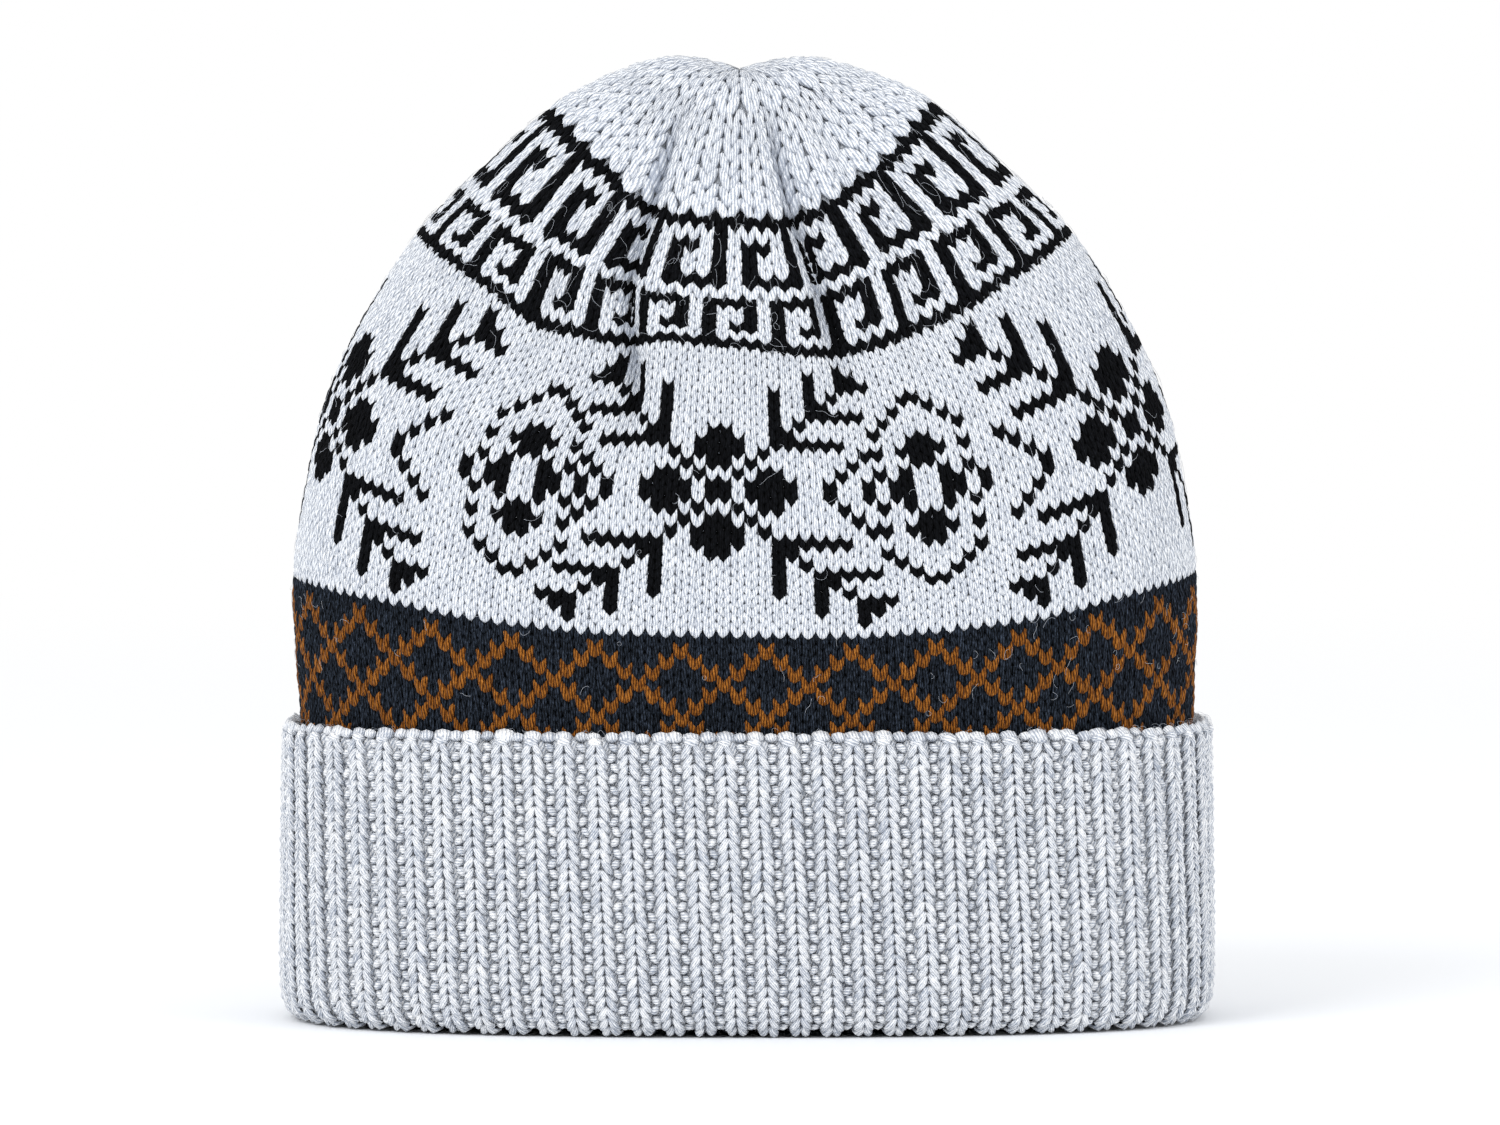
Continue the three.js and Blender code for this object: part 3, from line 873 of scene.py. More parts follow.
@dataclass
class Knitter:
    """Lays copies of a strand over a face of the hat as one joined mesh."""

    face: Face
    wales: int
    sink: float = 0.0     # how far the strands are let into the face, in millimetres
    slack: float = 1.0    # how unevenly the stitches lie, with 0 for all alike
    tones: float = 0.018  # how much a stitch's tone may differ from the next
    shade: float = 0.10   # painted shade: how much darker a strand's sides are than its crest
    tone: float = 0.0     # how much lighter the whole piece is than its yarn
    crease_shade: float = 0.16  # painted shade: how much darker the yarn is deep in a crease

    SWELLING = 0.035      # how much stitches differ in size
    SHIFT_ROUND = 0.018   # how far they lie off their place, in wales
    SHIFT_DOWN = 0.035    # in rows
    SHIFT_OUT = 0.06      # in millimetres
    YARN_LENGTH = 40.0    # each stitch starts somewhere in this much of the yarn's pattern

    def lay(self, name: str, model: StrandMesh, stitches: Stitches, yarn: Yarn, seed: int) -> Piece:
        """Lays the strand at every stitch.

        Args:
            name: The piece's name.
            model: The modelled strand.
            stitches: Where the copies go.
            yarn: The yarn that they are knitted in.
            seed: Starts the random draws.

        Returns:
            The piece, riding on the body and dressed in its yarn.
        """
        draw = np.random.default_rng(seed)
        count = len(stitches.rows)

        def uneven(spread: float) -> Array:
            """Draws one number for each stitch."""
            return self.slack * draw.normal(0.0, spread, count)[:, None]

        cells = model.points[None] * (1.0 + uneven(self.SWELLING))[..., None]
        side = np.where(stitches.mirrored, -1.0, 1.0)[:, None]
        wale = stitches.wales[:, None] + cells[..., 0] * side + uneven(self.SHIFT_ROUND)
        row = (stitches.rows[:, None] + cells[..., 1] + uneven(self.SHIFT_DOWN)).ravel()
        out = (cells[..., 2] - self.sink + uneven(self.SHIFT_OUT)).ravel()
        turn = self.face.settle(row, wale.ravel() / self.wales)
        points = self.face.place(row, turn, out)
        shift = np.stack([draw.uniform(0.0, self.YARN_LENGTH, count) for _ in range(2)], axis=1)
        yarn_map = (model.yarn[None] + shift[:, None]).reshape(-1, 2)
        # painted shade: each stitch's own tone is darkened on its strand's sides and tips, and deep in the
        # creases
        tone = draw.normal(self.tone, self.tones, count)[:, None] - self.shade * (1.0 - model.lift)[None]
        tone = tone.ravel() - self.crease_shade * self.face.crease_shade_share(row, turn)
        faces = self.copy_faces(model, stitches.mirrored)
        obj = joined_mesh(name, points, faces, yarn_map, tone)
        dress(obj, yarn)
        log.info("%s: %d strands, %d faces", name, count, sum(len(f) for f in faces))
        return obj

    @staticmethod
    def copy_faces(model: StrandMesh, mirrored: Array) -> list[Array]:
        """Copies the strand's faces, turned round on mirrored copies so that they still point out.

        Args:
            model: The modelled strand.
            mirrored: Which copies are mirrored.

        Returns:
            One array of vertex numbers for the three-sided faces and one for the four-sided ones, and so on.
        """
        starts = (np.arange(len(mirrored)) * len(model.points))[:, None, None]
        grouped = []
        for corners in sorted({len(face) for face in model.faces}):
            alike = np.array([face for face in model.faces if len(face) == corners])
            turned = np.where(mirrored[:, None, None], alike[None, :, ::-1], alike[None])
            grouped.append((turned + starts).reshape(-1, corners))
        return grouped


def joined_mesh(name: str, points: Array, faces: list[Array], yarn_map: Array, tone: Array) -> Piece:
    """Makes one mesh object from arrays.

    Args:
        name: The object's name.
        points: Vertices in millimetres.
        faces: Arrays of vertex numbers, one array for each number of corners.
        yarn_map: The place on the yarn in millimetres, for each vertex.
        tone: How much lighter or darker the stitch is, for each vertex, painted shade included.

    Returns:
        The new object, smooth shaded, at the origin.
    """
    mesh = bpy.data.meshes.new(name)
    corners = np.concatenate([f.ravel() for f in faces]).astype(np.int32)
    totals = np.concatenate([np.full(len(f), f.shape[1]) for f in faces]).astype(np.int32)
    starts = np.concatenate([[0], np.cumsum(totals)[:-1]]).astype(np.int32)
    mesh.vertices.add(len(points))
    mesh.vertices.foreach_set("co", (points * MM).astype(np.float32).ravel())
    mesh.loops.add(len(corners))
    mesh.loops.foreach_set("vertex_index", corners)
    mesh.polygons.add(len(totals))
    mesh.polygons.foreach_set("loop_start", starts)
    mesh.polygons.foreach_set("loop_total", totals)
    mesh.polygons.foreach_set("use_smooth", np.ones(len(totals), dtype=bool))
    mesh.update(calc_edges=True)
    thread(mesh, yarn_map, tone)
    mesh.validate()
    return add_object(name, mesh)


@dataclass
class Backing:
    """The wall behind the stitches: a sheet rolled round the hat and given its thickness."""

    name: str
    node: str
    face: Face
    top: float
    bottom: float
    rows: int
    columns: int
    depth: float = 1.05    # how far it lies under the face
    thick: float = 1.9
    # painted shade: the sheet shows in the gaps between the stitches and is drawn darker than its yarn
    tone: float = -0.08

    MERGED = 0.02          # vertices nearer each other than this become one

    def build(self, yarns: tuple[Yarn, ...], chart: Array | None = None) -> Piece:
        """Rolls the sheet, colours its faces from the chart and thickens it inwards.

        Args:
            yarns: The yarns in the band.
            chart: For each row and wale, which of them it is knitted in. A band in one yarn needs none.

        Returns:
            The piece, which stands for its node.
        """
        deselect_all()
        bpy.ops.mesh.primitive_grid_add(x_subdivisions=self.columns, y_subdivisions=self.rows, size=2.0)
        obj = bpy.context.object
        obj.name = obj.data.name = self.name
        mesh = obj.data
        flat = np.empty(len(mesh.vertices) * 3)
        mesh.vertices.foreach_get("co", flat)
        flat = flat.reshape(-1, 3)
        turn = (flat[:, 0] + 1.0) / 2.0
        share = (1.0 - flat[:, 1]) / 2.0
        row = self.top + (self.bottom - self.top) * share
        if chart is not None:
            self.colour(mesh, turn, row, chart)
        points = self.face.place(row, self.face.settle(row, turn), -self.sunk(row, turn))
        mesh.vertices.foreach_set("co", (points * MM).ravel())
        for layer in list(mesh.uv_layers):
            mesh.uv_layers.remove(layer)
        places = np.stack([turn * OVAL.length, row * ROW_HEIGHT], axis=1)
        # painted shade for the gaps between the stitches
        thread(mesh, places, self.painted_gap_shade(row, turn))
        bpy.ops.object.mode_set(mode="EDIT")
        bpy.ops.mesh.select_all(action="SELECT")
        bpy.ops.mesh.remove_doubles(threshold=self.MERGED * MM)
        bpy.ops.object.mode_set(mode="OBJECT")
        wall = obj.modifiers.new("wall", "SOLIDIFY")
        wall.thickness = self.thick * MM
        wall.offset = -1.0
        bpy.ops.object.modifier_apply(modifier=wall.name)
        bpy.ops.object.shade_smooth()
        dress(obj, *yarns)
        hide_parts(self.node)
        log.info("%s: %d faces", self.name, len(obj.data.polygons))
        return obj

    def sunk(self, row: Array, turn: Array) -> Array:
        """Says how far the sheet lies under the face."""
        return np.full(np.shape(row), self.depth)

    def painted_gap_shade(self, row: Array, turn: Array) -> Array:
        """Says how much lighter the sheet is than its yarn; it is drawn darker, as painted shade in the gaps
        between the stitches.
        """
        return np.full(np.shape(row), self.tone)

    def colour(self, mesh: Mesh, turn: Array, row: Array, chart: Array) -> None:
        """Gives each face the yarn of the stitch that it lies behind."""
        quads = corner_vertices(mesh).reshape(-1, 4)
        rows, wales = chart.shape
        along = (row[quads].mean(axis=1) - self.top) / (self.bottom - self.top) * rows
        round_hat = turn[quads].mean(axis=1) * wales
        cell_row = np.clip(along.astype(int), 0, rows - 1)
        cell_wale = np.mod(round_hat.astype(int), wales)
        mesh.polygons.foreach_set("material_index", chart[cell_row, cell_wale].astype(np.int32))


@dataclass
class CuffWall(Backing):
    """The cuff's folded wall, which sinks between the ribs."""

    valley: float = 1.9            # how far it lies under the face between two ribs

    RIB_SIDE = (0.24, 0.40)        # it sinks at this much of a rib from a rib's middle
    FIRST_VALLEY = (0.0, 0.9)      # the valleys begin over these rows, below the loose edge
    BEHIND = (-0.8, 0.3)           # over these rows it comes up to the face, behind the loose edge

    def between(self, row: Array, turn: Array) -> Array:
        """Says how far between two ribs a place lies, from 0 to 1."""
        from_rib = np.abs(np.mod(turn * RIB_COUNT - RIB_PHASE + 0.5, 1.0) - 0.5)
        return smoothstep(from_rib, *self.RIB_SIDE) * smoothstep(row, *self.FIRST_VALLEY)

    def sunk(self, row: Array, turn: Array) -> Array:
        """Says how far the wall lies under the face."""
        return mix(self.depth, self.valley, self.between(row, turn)) * smoothstep(row, *self.BEHIND)

    def painted_gap_shade(self, row: Array, turn: Array) -> Array:
        """Says how much lighter the wall is than its yarn; it is drawn darker, as painted shade, and twice as
        dark between two ribs.
        """
        return self.tone * (1.0 + self.between(row, turn))


KEY_TILE = (
    "XXXXX",
    "X....",
    "X.XX.",
    "X.X..",
    "X.X..",
    "X.XXX",
    ".....",
    "XXXX.",
    "X..X.",
    "X..X.",
    "X.XX.",
    "X....",
    "XXXXX",
)


@dataclass(frozen=True)
class Stroke:
    """A run of black stitches in one quarter of a figure, counted out from its middle."""

    wale: int
    row: int
    wale_step: int
    row_step: int
    count: int
    both_ways: bool = True    # also drawn with rows and wales swapped


SNOWFLAKE = (
    Stroke(1, 1, 1, 1, 4),                     # heart
    Stroke(5, 5, 0, 1, 6),                     # inner branch
    Stroke(6, 6, 1, 1, 2),                     # inner arm
    Stroke(8, 8, 0, 1, 5),                     # outer branch
    Stroke(9, 9, 1, 1, 2),                     # outer arm
    Stroke(11, 11, 0, 1, 3),                   # barb
    Stroke(12, 12, 0, 1, 1),                   # point
    Stroke(1, 3, 0, 1, 4),                     # petal edge
    Stroke(2, 4, 0, 1, 2),                     # petal middle
    Stroke(9, 1, 1, 1, 4, both_ways=False),    # chevron
)
OVAL_AND_FLOWER = (
    Stroke(1, 9, 1, -1, 4, both_ways=False),    # ends
    Stroke(4, 4, 0, -2, 2, both_ways=False),    # side
    Stroke(5, 1, 0, 1, 1, both_ways=False),     # widest
    Stroke(1, 5, 0, -1, 3, both_ways=False),    # flower top
    Stroke(2, 4, 0, 1, 1, both_ways=False),     # flower shoulder
    Stroke(2, 2, 0, -1, 2, both_ways=False),    # flower side
    Stroke(3, 1, 0, 1, 1, both_ways=False),     # flower side tip
)


class Charts:
    """Draws the knitting charts: 0 for a stitch in the ground yarn and 1 for one in the pattern yarn."""

    FLAKES = (-2, 32, 65, 98, -36)     # the middle of each snowflake, in wales from the front centre
    RINGS = (14, 48, 81, 115, -17)     # the middle of each oval ring
    DIAMOND = 3                        # half a diamond, in wales and in rows

    @staticmethod
    def tiled(tile: tuple[str, ...], wales: int, start: int) -> Array:
        """Repeats a tile round the hat.

        Args:
            tile: The tile's rows, with X for the pattern yarn.
            wales: Stitches round the hat.
            start: The wale of the tile's first column.

        Returns:
            The chart.
        """
        cells = np.array([[mark == "X" for mark in line] for line in tile], dtype=int)
        columns = np.mod(np.arange(wales) - start, cells.shape[1])
        return cells[:, columns]

    @classmethod
    def motifs(cls, rows: int, wales: int) -> Array:
        """Draws snowflakes, with a flower in an oval ring between each two."""
        chart = np.zeros((rows, wales), dtype=int)
        for middle in cls.FLAKES:
            cls.draw(chart, SNOWFLAKE, middle)
        for middle in cls.RINGS:
            cls.draw(chart, OVAL_AND_FLOWER, middle)
        return chart

    @staticmethod
    def draw(chart: Array, strokes: tuple[Stroke, ...], middle: int) -> None:
        """Draws a figure's four quarters about the line before a wale, half way down the chart.

        Args:
            chart: The chart to draw on.
            strokes: One quarter of the figure.
            middle: The wale just right of the figure's middle.
        """
        rows, wales = chart.shape
        for stroke in strokes:
            for i in range(stroke.count):
                wale = stroke.wale + i * stroke.wale_step
                row = stroke.row + i * stroke.row_step
                cells = {(wale, row), (row, wale)} if stroke.both_ways else {(wale, row)}
                for out_wale, out_row in cells:
                    for wale_at in (middle + out_wale - 1, middle - out_wale):
                        for row_at in (rows // 2 + out_row - 1, rows // 2 - out_row):
                            chart[row_at, wale_at % wales] = 1

    @staticmethod
    def lattice(rows: int, wales: int, peak: int) -> Array:
        """Draws diagonals that cross every six wales and six rows, below one plain row.

        Args:
            rows: Rows of the band.
            wales: Stitches round the hat.
            peak: The wale of a diamond's top.

        Returns:
            The chart.
        """
        side = Charts.DIAMOND
        row = np.arange(rows)[:, None] - 1
        wale = np.arange(wales)[None, :]
        from_peak = np.abs(np.mod(wale - peak + side, 2 * side) - side)
        wanted = side - np.abs(np.mod(row, 2 * side) - side)
        return ((from_peak == wanted) & (row >= 0)).astype(int)


@dataclass
class KnitBand:
    """A band of plain knitting in two yarns: its stitches, one piece to a yarn, and the wall behind them."""

    name: str
    node: str
    top: int
    chart: Array
    yarns: tuple[Yarn, Yarn]
    seed: int
    parts: int = 1    # how many pieces the ground yarn's stitches are shared among
    sink: float = 0.7
    pattern_leg: Strand = LEG

    SEED_STEP = 10    # the pattern yarn's draws start this much further on

    def build(self) -> list[Piece]:
        """Knits the band.

        Returns:
            Its pieces.
        """
        rows, wales = self.chart.shape
        knitter = Knitter(BODY_FACE, wales, sink=self.sink)
        legs = (LEG.model(), self.pattern_leg.model())
        pieces = []
        for mark, yarn in enumerate(self.yarns):
            row, wale = np.nonzero(self.chart == mark)
            shares = self.parts if mark == 0 else 1
            for share in range(shares):
                mine = (wale * shares // wales) == share
                stitches = Stitches.both_legs(self.top + row[mine] + 0.5, wale[mine] + 0.5)
                label = f"{self.name}_{yarn.name.lower()}" + (f"_{share + 1}" if shares > 1 else "")
                seed = self.seed + self.SEED_STEP * mark + share
                pieces.append(knitter.lay(label, legs[mark], stitches, yarn, seed))
        wall = Backing(f"{self.name}_wall", self.node, BODY_FACE, self.top, self.top + rows, rows, wales)
        pieces.append(wall.build(self.yarns, self.chart))
        return pieces


@dataclass(frozen=True)
class CrownRing:
    """Some rows of the crown that have the same number of wales, with fewer towards the gather."""

    name: str
    top: float
    row_step: float
    rows: int
    wales: int
    strand: Strand


CROWN_RINGS = (
    CrownRing("gather", 0.7, 1.5, 1, 13, PINCH),
    CrownRing("inner", 1.5, 1.0, 4, 24, CROWN_LEG),
    CrownRing("outer", 5.45, 1.0, 7, 48, CROWN_LEG),
)


@dataclass
class Crown:
    """The plain top of the hat, drawn together at the gather."""

    rows: int = 12
    wall_rows: int = 24
    wall_columns: int = 112
    wall_depth: float = 1.3
    # painted shade: how much darker a strand's sides are than its crest
    shade: float = 0.15
    slack: float = 1.6
    seed: int = 100
    yarn: Yarn = Yarn.WHITE

    def build(self) -> list[Piece]:
        """Knits the crown ring by ring and backs it with its wall."""
        pieces = []
        for i, ring in enumerate(CROWN_RINGS):
            row, wale = every_stitch(ring.rows, ring.wales)
            rows = ring.top + row * ring.row_step
            if ring.strand is PINCH:
                stitches = Stitches(rows, wale + 0.5, np.zeros(len(row), dtype=bool))
            else:
                stitches = Stitches.both_legs(rows, wale + 0.5)
            knitter = Knitter(BODY_FACE, ring.wales, slack=self.slack, shade=self.shade)
            model = ring.strand.model()
            pieces.append(knitter.lay(f"crown_{ring.name}", model, stitches, self.yarn, self.seed + i))
        size = {"rows": self.wall_rows, "columns": self.wall_columns, "depth": self.wall_depth}
        wall = Backing("crown_wall", "crown_cap", BODY_FACE, 0.0, float(self.rows), **size)
        pieces.append(wall.build((self.yarn,)))
        return pieces


@dataclass
class Body:
    """The body of the hat, from the crown down to behind the cuff."""

    top: int = 12
    keys_above: int = 20
    keys_below: int = 26
    key_starts: tuple[int, int] = (-2, -3)    # the wale where a key begins, above and below
    key_split: int = 7        # the tile's rows that belong to the upper keys
    motif_rows: int = 28
    lattice_rows: int = 13
    lattice_peak: int = 1     # the wale of a diamond's top, counted from the front centre

    def build(self) -> list[Piece]:
        """Knits the bands from the crown down."""
        bands = (*self.keys(), self.motifs(), self.lattice())
        return [piece for band in bands for piece in band.build()]

    def keys(self) -> tuple[KnitBand, KnitBand]:
        """Plans the two rows of key pattern. The hat draws in between them, so the upper has fewer keys."""
        width = len(KEY_TILE[0])
        above = Charts.tiled(KEY_TILE[: self.key_split], self.keys_above * width, self.key_starts[0])
        below = Charts.tiled(KEY_TILE[self.key_split :], self.keys_below * width, self.key_starts[1])
        yarns = (Yarn.WHITE, Yarn.BLACK)
        return (
            KnitBand("key_upper", "key_band", self.top, above, yarns, seed=200),
            KnitBand("key_lower", "key_band", self.top + self.key_split, below, yarns, seed=300),
        )

    def motifs(self) -> KnitBand:
        """Plans the snowflakes and rings."""
        top = self.top + len(KEY_TILE)
        chart = Charts.motifs(self.motif_rows, BODY_WALES)
        return KnitBand("motif", "motif_band", top, chart, (Yarn.WHITE, Yarn.BLACK), seed=400, parts=2)

    def lattice(self) -> KnitBand:
        """Plans the diamonds."""
        top = self.top + len(KEY_TILE) + self.motif_rows
        chart = Charts.lattice(self.lattice_rows, BODY_WALES, self.lattice_peak)
        yarns = (Yarn.CHARCOAL, Yarn.RUST)
        return KnitBand("lattice", "lattice_band", top, chart, yarns, seed=500, pattern_leg=FULL_LEG)


@dataclass
class Cuff:
    """The ribbed cuff, turned up on itself. Its rows count down from the top of the loose edge."""

    first_row: float = 1.7    # of the ribs
    rows: int = 31
    valley_lift: float = 0.3  # the valleys' stitches lie this many rows over the ribs'
    zigzag: float = 0.045     # and by turns this much of a rib to one side
    cap_row: float = 0.9
    rib_edge_row: float = 0.1
    valley_edge_row: float = 0.12
    tones: float = 0.03
    shade: float = 0.09       # painted shade: how much darker a strand's sides are than its crest
    # painted light: the valleys' beads are drawn this much lighter than the ribs' legs
    valley_painted_light: float = 0.02
    edge_slack: float = 2.2   # the loose edge is more uneven than the ribs
    edge_tones: float = 0.04
    # painted shade on the loose edge: how much darker a strand's sides are than its crest
    edge_shade: float = 0.13
    wall_rows: int = 56
    rib_samples: int = 6      # columns of the wall to a rib
    seed: int = 600

    def build(self) -> list[Piece]:
        """Knits the ribs, the valleys between them, the loose edge and the wall behind."""
        row, rib = every_stitch(self.rows, RIB_COUNT)
        rows, place = self.first_row + row, rib + RIB_PHASE
        even = row % 2 == 0
        valleys = Stitches(
            rows - self.valley_lift, place + 0.5 + np.where(even, self.zigzag, -self.zigzag), even
        )
        raised = Knitter(CUFF_FACE, RIB_COUNT, tones=self.tones, shade=self.shade)
        # painted light: the beads in the valleys are drawn a little lighter than the ribs
        deep = Knitter(CUFF_FACE, RIB_COUNT, tones=self.tones, shade=self.shade, tone=self.valley_painted_light)
        loose = Knitter(
            CUFF_FACE, RIB_COUNT, slack=self.edge_slack, tones=self.edge_tones, shade=self.edge_shade
        )
        plan = (
            ("cuff_ribs", raised, RIB_LEG, Stitches.both_legs(rows, place)),
            ("cuff_valleys", deep, PURL_BEAD, valleys),
            ("cuff_edge_caps", loose, CAP_BEAD, self.edge(self.cap_row, 0.0)),
            ("cuff_rib_edges", loose, RIB_EDGE, self.edge(self.rib_edge_row, 0.0)),
            ("cuff_valley_edges", loose, VALLEY_EDGE, self.edge(self.valley_edge_row, 0.5)),
        )
        pieces = [
            knitter.lay(name, strand.model(), stitches, Yarn.CUFF, self.seed + i)
            for i, (name, knitter, strand, stitches) in enumerate(plan)
        ]
        return [*pieces, self.wall()]

    @staticmethod
    def edge(row: float, past_rib: float) -> Stitches:
        """Puts one stitch to each rib along the loose edge."""
        places = np.arange(RIB_COUNT) + RIB_PHASE
        return Stitches(np.full(RIB_COUNT, row), places + past_rib, np.zeros(RIB_COUNT, dtype=bool))

    def wall(self) -> Piece:
        """Makes the folded wall, from behind the loose edge round the fold and up the inside."""
        low, high = CUFF_FACE.rows[0], CUFF_FACE.rows[-1]
        size = {"rows": self.wall_rows, "columns": RIB_COUNT * self.rib_samples}
        # painted shade: the wall is drawn a little darker than its yarn, and twice that between the ribs
        wall = CuffWall("cuff_wall", "cuff", CUFF_FACE, low, high, **size, depth=0.6, thick=0.6, tone=-0.02)
        return wall.build((Yarn.CUFF,))


@dataclass(frozen=True)
class FuzzPatch:
    """A stretch of the hat that single fibres stand out from."""

    face: Face
    top: float
    bottom: float
    fibres: int
    reach: float      # the longest fibre, in millimetres
    lift: float       # how far the middle of a fibre stands off the face


FUZZ_PATCHES = (
    FuzzPatch(BODY_FACE, 2.0, 12.0, 50, 7.0, 0.6),      # crown
    FuzzPatch(BODY_FACE, 12.0, 25.0, 560, 9.0, 0.6),    # key pattern
    FuzzPatch(BODY_FACE, 25.0, 53.0, 340, 8.0, 0.5),    # snowflakes
    FuzzPatch(BODY_FACE, 53.0, 61.0, 110, 5.0, 0.6),    # diamonds
    FuzzPatch(CUFF_FACE, -0.4, 0.9, 420, 4.0, 1.6),     # loose edge
    FuzzPatch(CUFF_FACE, 1.0, 28.0, 160, 6.0, 0.8),     # cuff
)


@dataclass
class Fuzz:
    """The single fibres that have worked loose and curl over the knitting."""

    steps: int = 8
    radius: float = 0.033
    first_lift: float = 0.3    # fibres start this far over the face, on the strands
    curl: float = 0.35         # how sharply a fibre may keep turning at each step, in radians
    wander: float = 0.3        # how far each step may turn off that
    shortest: float = 0.45     # of the patch's longest
    lowest: float = 0.2        # of the patch's lift
    seed: int = 900

    TOP_ROW = 0.5              # no fibre comes nearer the gather than this

    def build(self) -> Piece:
        """Curls every fibre, gives them their thickness and joins them in one mesh.

        Returns:
            The piece.
        """
        deselect_all()
        draw = np.random.default_rng(self.seed)
        curve = bpy.data.curves.new("stray_fibres", "CURVE")
        curve.dimensions = "3D"
        curve.bevel_depth = self.radius * MM
        curve.bevel_resolution = 0
        for patch in FUZZ_PATCHES:
            for _ in range(patch.fibres):
                points = self.walk(patch, draw)
                spline = curve.splines.new("POLY")
                spline.points.add(len(points) - 1)
                flat = np.column_stack([points * MM, np.ones(len(points))])
                spline.points.foreach_set("co", flat.ravel())
        obj = add_object("stray_fibres", curve)
        obj.select_set(True)
        bpy.context.view_layer.objects.active = obj
        bpy.ops.object.convert(target="MESH")
        obj = bpy.context.object
        bpy.ops.object.shade_smooth()
        obj.data.uv_layers.new(name="yarn")
        obj.data.attributes.new("stitch", "FLOAT", "POINT")
        dress(obj, Yarn.FIBRE)
        log.info("stray_fibres: %d faces", len(obj.data.polygons))
        return obj

    def walk(self, patch: FuzzPatch, draw: np.random.Generator) -> Array:
        """Walks along one fibre in short steps that keep turning the same way, and lifts it off the face.

        Args:
            patch: Where the fibre grows.
            draw: The random draws.

        Returns:
            The fibre's points in millimetres.
        """
        row = draw.uniform(patch.top, patch.bottom)
        turn = draw.uniform(0.0, 1.0)
        heading = draw.uniform(0.0, 2.0 * math.pi)
        step = draw.uniform(self.shortest, 1.0) * patch.reach / self.steps
        bends = draw.normal(0.0, self.curl) + draw.normal(0.0, self.wander, self.steps)
        headings = heading + np.cumsum(bends)
        rows = row + np.cumsum(np.sin(headings)) * step / ROW_HEIGHT
        turns = turn + np.cumsum(np.cos(headings)) * step / OVAL.length
        share = np.linspace(0.0, 1.0, self.steps)
        lift = patch.lift * draw.uniform(self.lowest, 1.0)
        lifts = self.first_lift + lift * np.sin(math.pi * share * draw.uniform(0.5, 1.0))
        if patch.face is BODY_FACE:
            rows = np.maximum(rows, self.TOP_ROW)
        return patch.face.place(rows, turns, lifts)


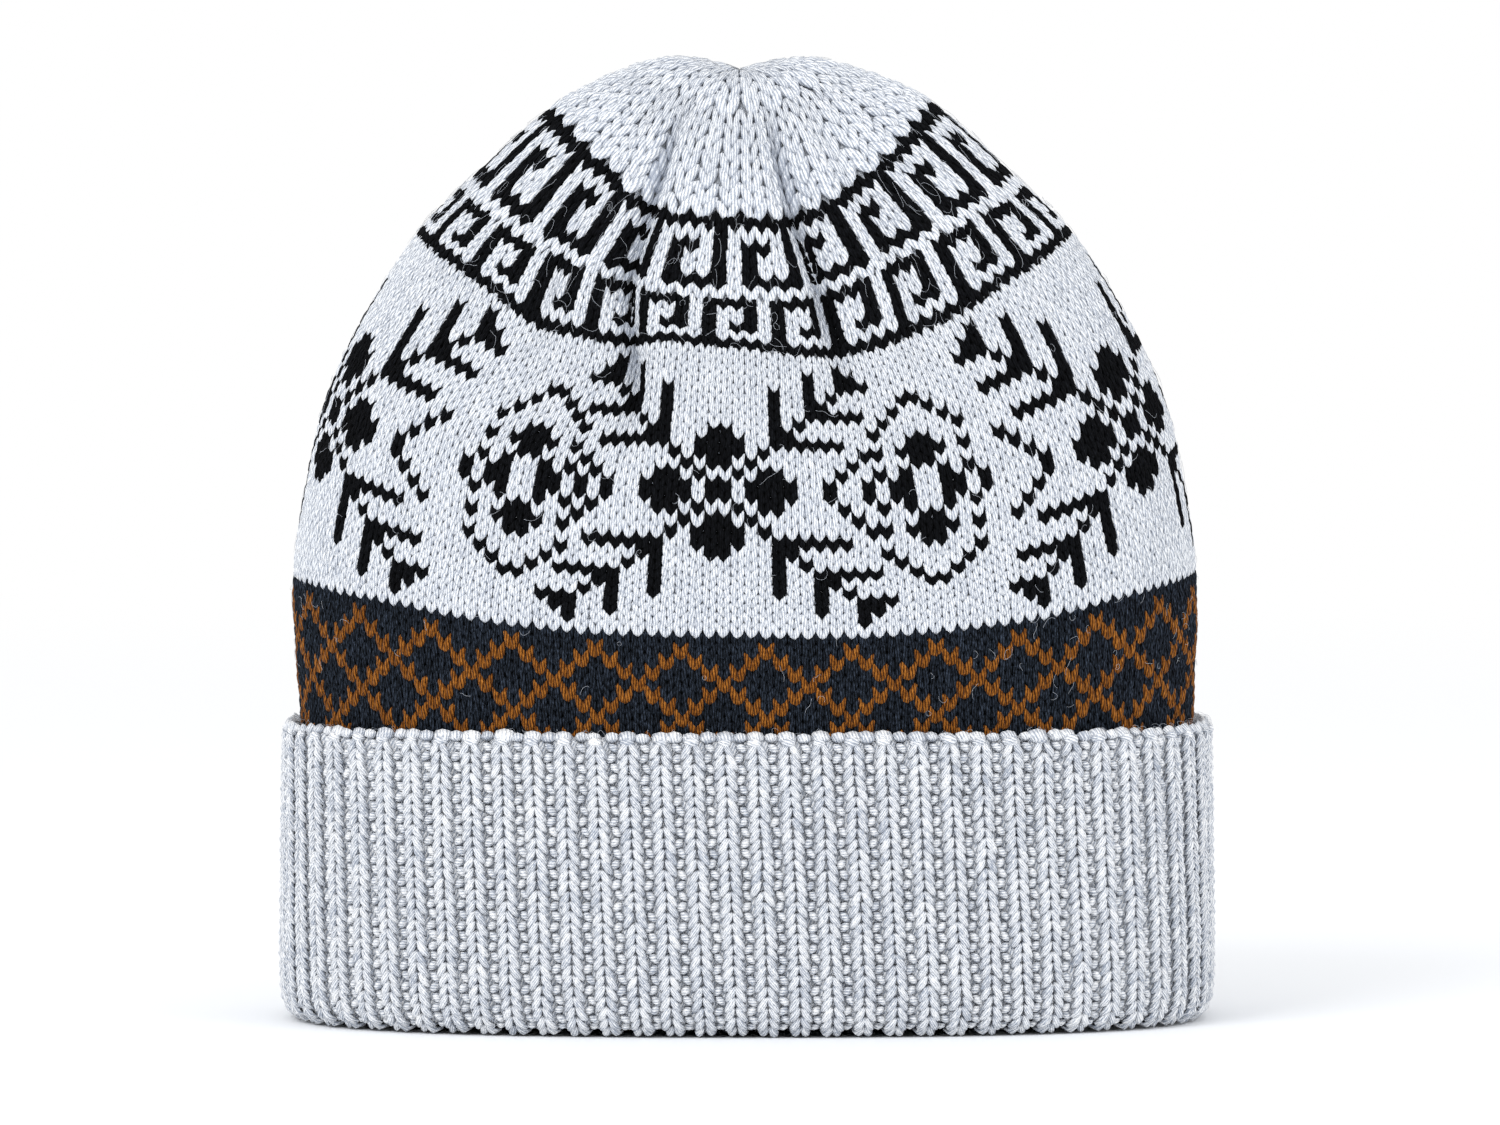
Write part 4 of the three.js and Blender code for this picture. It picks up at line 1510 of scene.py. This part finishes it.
@dataclass
class Studio:
    """A pale floor, soft light from above and both sides, and the photograph's view."""

    distance: float = 2600.0       # from the camera to the hat
    elevation: float = 2.5         # degrees above level
    photo_scale: float = 4.13      # photograph pixels to a millimetre at the middle of the hat
    photo_width: float = 1500.0
    aim_x: float = 0.7
    aim_z: float = 110.0
    sensor: float = 36.0
    sight: float = 100000.0        # how far the camera sees
    floor_radius: float = 12000.0
    floor_fades: tuple[float, float] = (350.0, 2200.0)    # the floor turns to background between these
    box_size: float = 900.0        # of each soft box

    def build(self) -> None:
        """Sets the floor, world, lights and camera."""
        self.floor()
        self.world()
        self.lights()
        self.camera()
        bpy.context.scene.view_settings.view_transform = "Standard"

    def floor(self) -> None:
        """Makes a wide pale floor that fades into the background far off."""
        deselect_all()
        bpy.ops.mesh.primitive_circle_add(vertices=96, radius=self.floor_radius * MM, fill_type="NGON")
        floor = bpy.context.object
        floor.name = "studio_floor"
        material = bpy.data.materials.new("pale_floor_paint")
        tree = empty_tree(material)
        place = add_node(tree, "ShaderNodeTexCoord").outputs["Object"]
        far = add_node(tree, "ShaderNodeVectorMath", {0: place}, operation="LENGTH").outputs["Value"]
        near, away = self.floor_fades
        fade = {"Value": far, "From Min": near * MM, "From Max": away * MM}
        share = add_node(tree, "ShaderNodeMapRange", fade, interpolation_type="SMOOTHSTEP")
        paint = {"Base Color": linear("#F4F6F9"), "Roughness": 0.9}
        near_paint = add_node(tree, "ShaderNodeBsdfPrincipled", paint)
        far_glow = add_node(tree, "ShaderNodeEmission", {"Color": linear("#FFFFFF"), "Strength": 1.0})
        shaders = {1: near_paint.outputs["BSDF"], 2: far_glow.outputs["Emission"]}
        blend = add_node(tree, "ShaderNodeMixShader", {"Fac": share.outputs["Result"], **shaders})
        add_node(tree, "ShaderNodeOutputMaterial", {"Surface": blend.outputs["Shader"]})
        floor.data.materials.append(material)

    @staticmethod
    def world() -> None:
        """Surrounds the hat with even white light."""
        world = bpy.data.worlds.new("studio_world")
        bpy.context.scene.world = world
        tree = empty_tree(world)
        sky = add_node(tree, "ShaderNodeBackground", {"Color": linear("#FFFFFF"), "Strength": 1.0})
        add_node(tree, "ShaderNodeOutputWorld", {"Surface": sky.outputs["Background"]})

    def lights(self) -> None:
        """Hangs two soft boxes: a broad one high at the front left and a weaker one at the right."""
        self.soft_box("key_light", (-900.0, -1300.0, 1300.0), power=14.0)
        self.soft_box("fill_light", (1300.0, -900.0, 700.0), power=4.5)

    def soft_box(self, name: str, place: tuple[float, float, float], power: float) -> None:
        """Adds one square area light that faces the middle of the hat."""
        light = bpy.data.lights.new(name, "AREA")
        light.size = self.box_size * MM
        light.energy = power
        spot = Vector(place) * MM
        self.hang(name, light, spot, Vector((0.0, 0.0, self.aim_z)) * MM - spot)

    @staticmethod
    def hang(name: str, data: bpy.types.ID, spot: Vector, way: Vector) -> Piece:
        """Puts a light or camera in its spot, facing one way."""
        obj = add_object(name, data)
        obj.location = spot
        obj.rotation_euler = way.to_track_quat("-Z", "Y").to_euler()
        return obj

    def camera(self) -> None:
        """Places a long lens in front of the hat, a little above level."""
        tilt = math.radians(self.elevation)
        target = Vector((self.aim_x, 0.0, self.aim_z)) * MM
        back = Vector((0.0, -math.cos(tilt), math.sin(tilt)))
        camera = bpy.data.cameras.new("photo_camera")
        camera.sensor_width = self.sensor
        camera.lens = self.photo_scale * self.distance / self.photo_width * self.sensor
        camera.clip_end = self.sight * MM
        spot = target + back * self.distance * MM
        bpy.context.scene.camera = self.hang("photo_camera", camera, spot, -back)


def main() -> None:
    """Builds the hat and its studio, and writes how large it came out."""
    logging.basicConfig(level=logging.INFO, format="%(name)s: %(message)s")
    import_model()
    Studio().build()
    Crown().build()
    Body().build()
    Cuff().build()
    Fuzz().build()


if __name__ == "__main__":
    main()
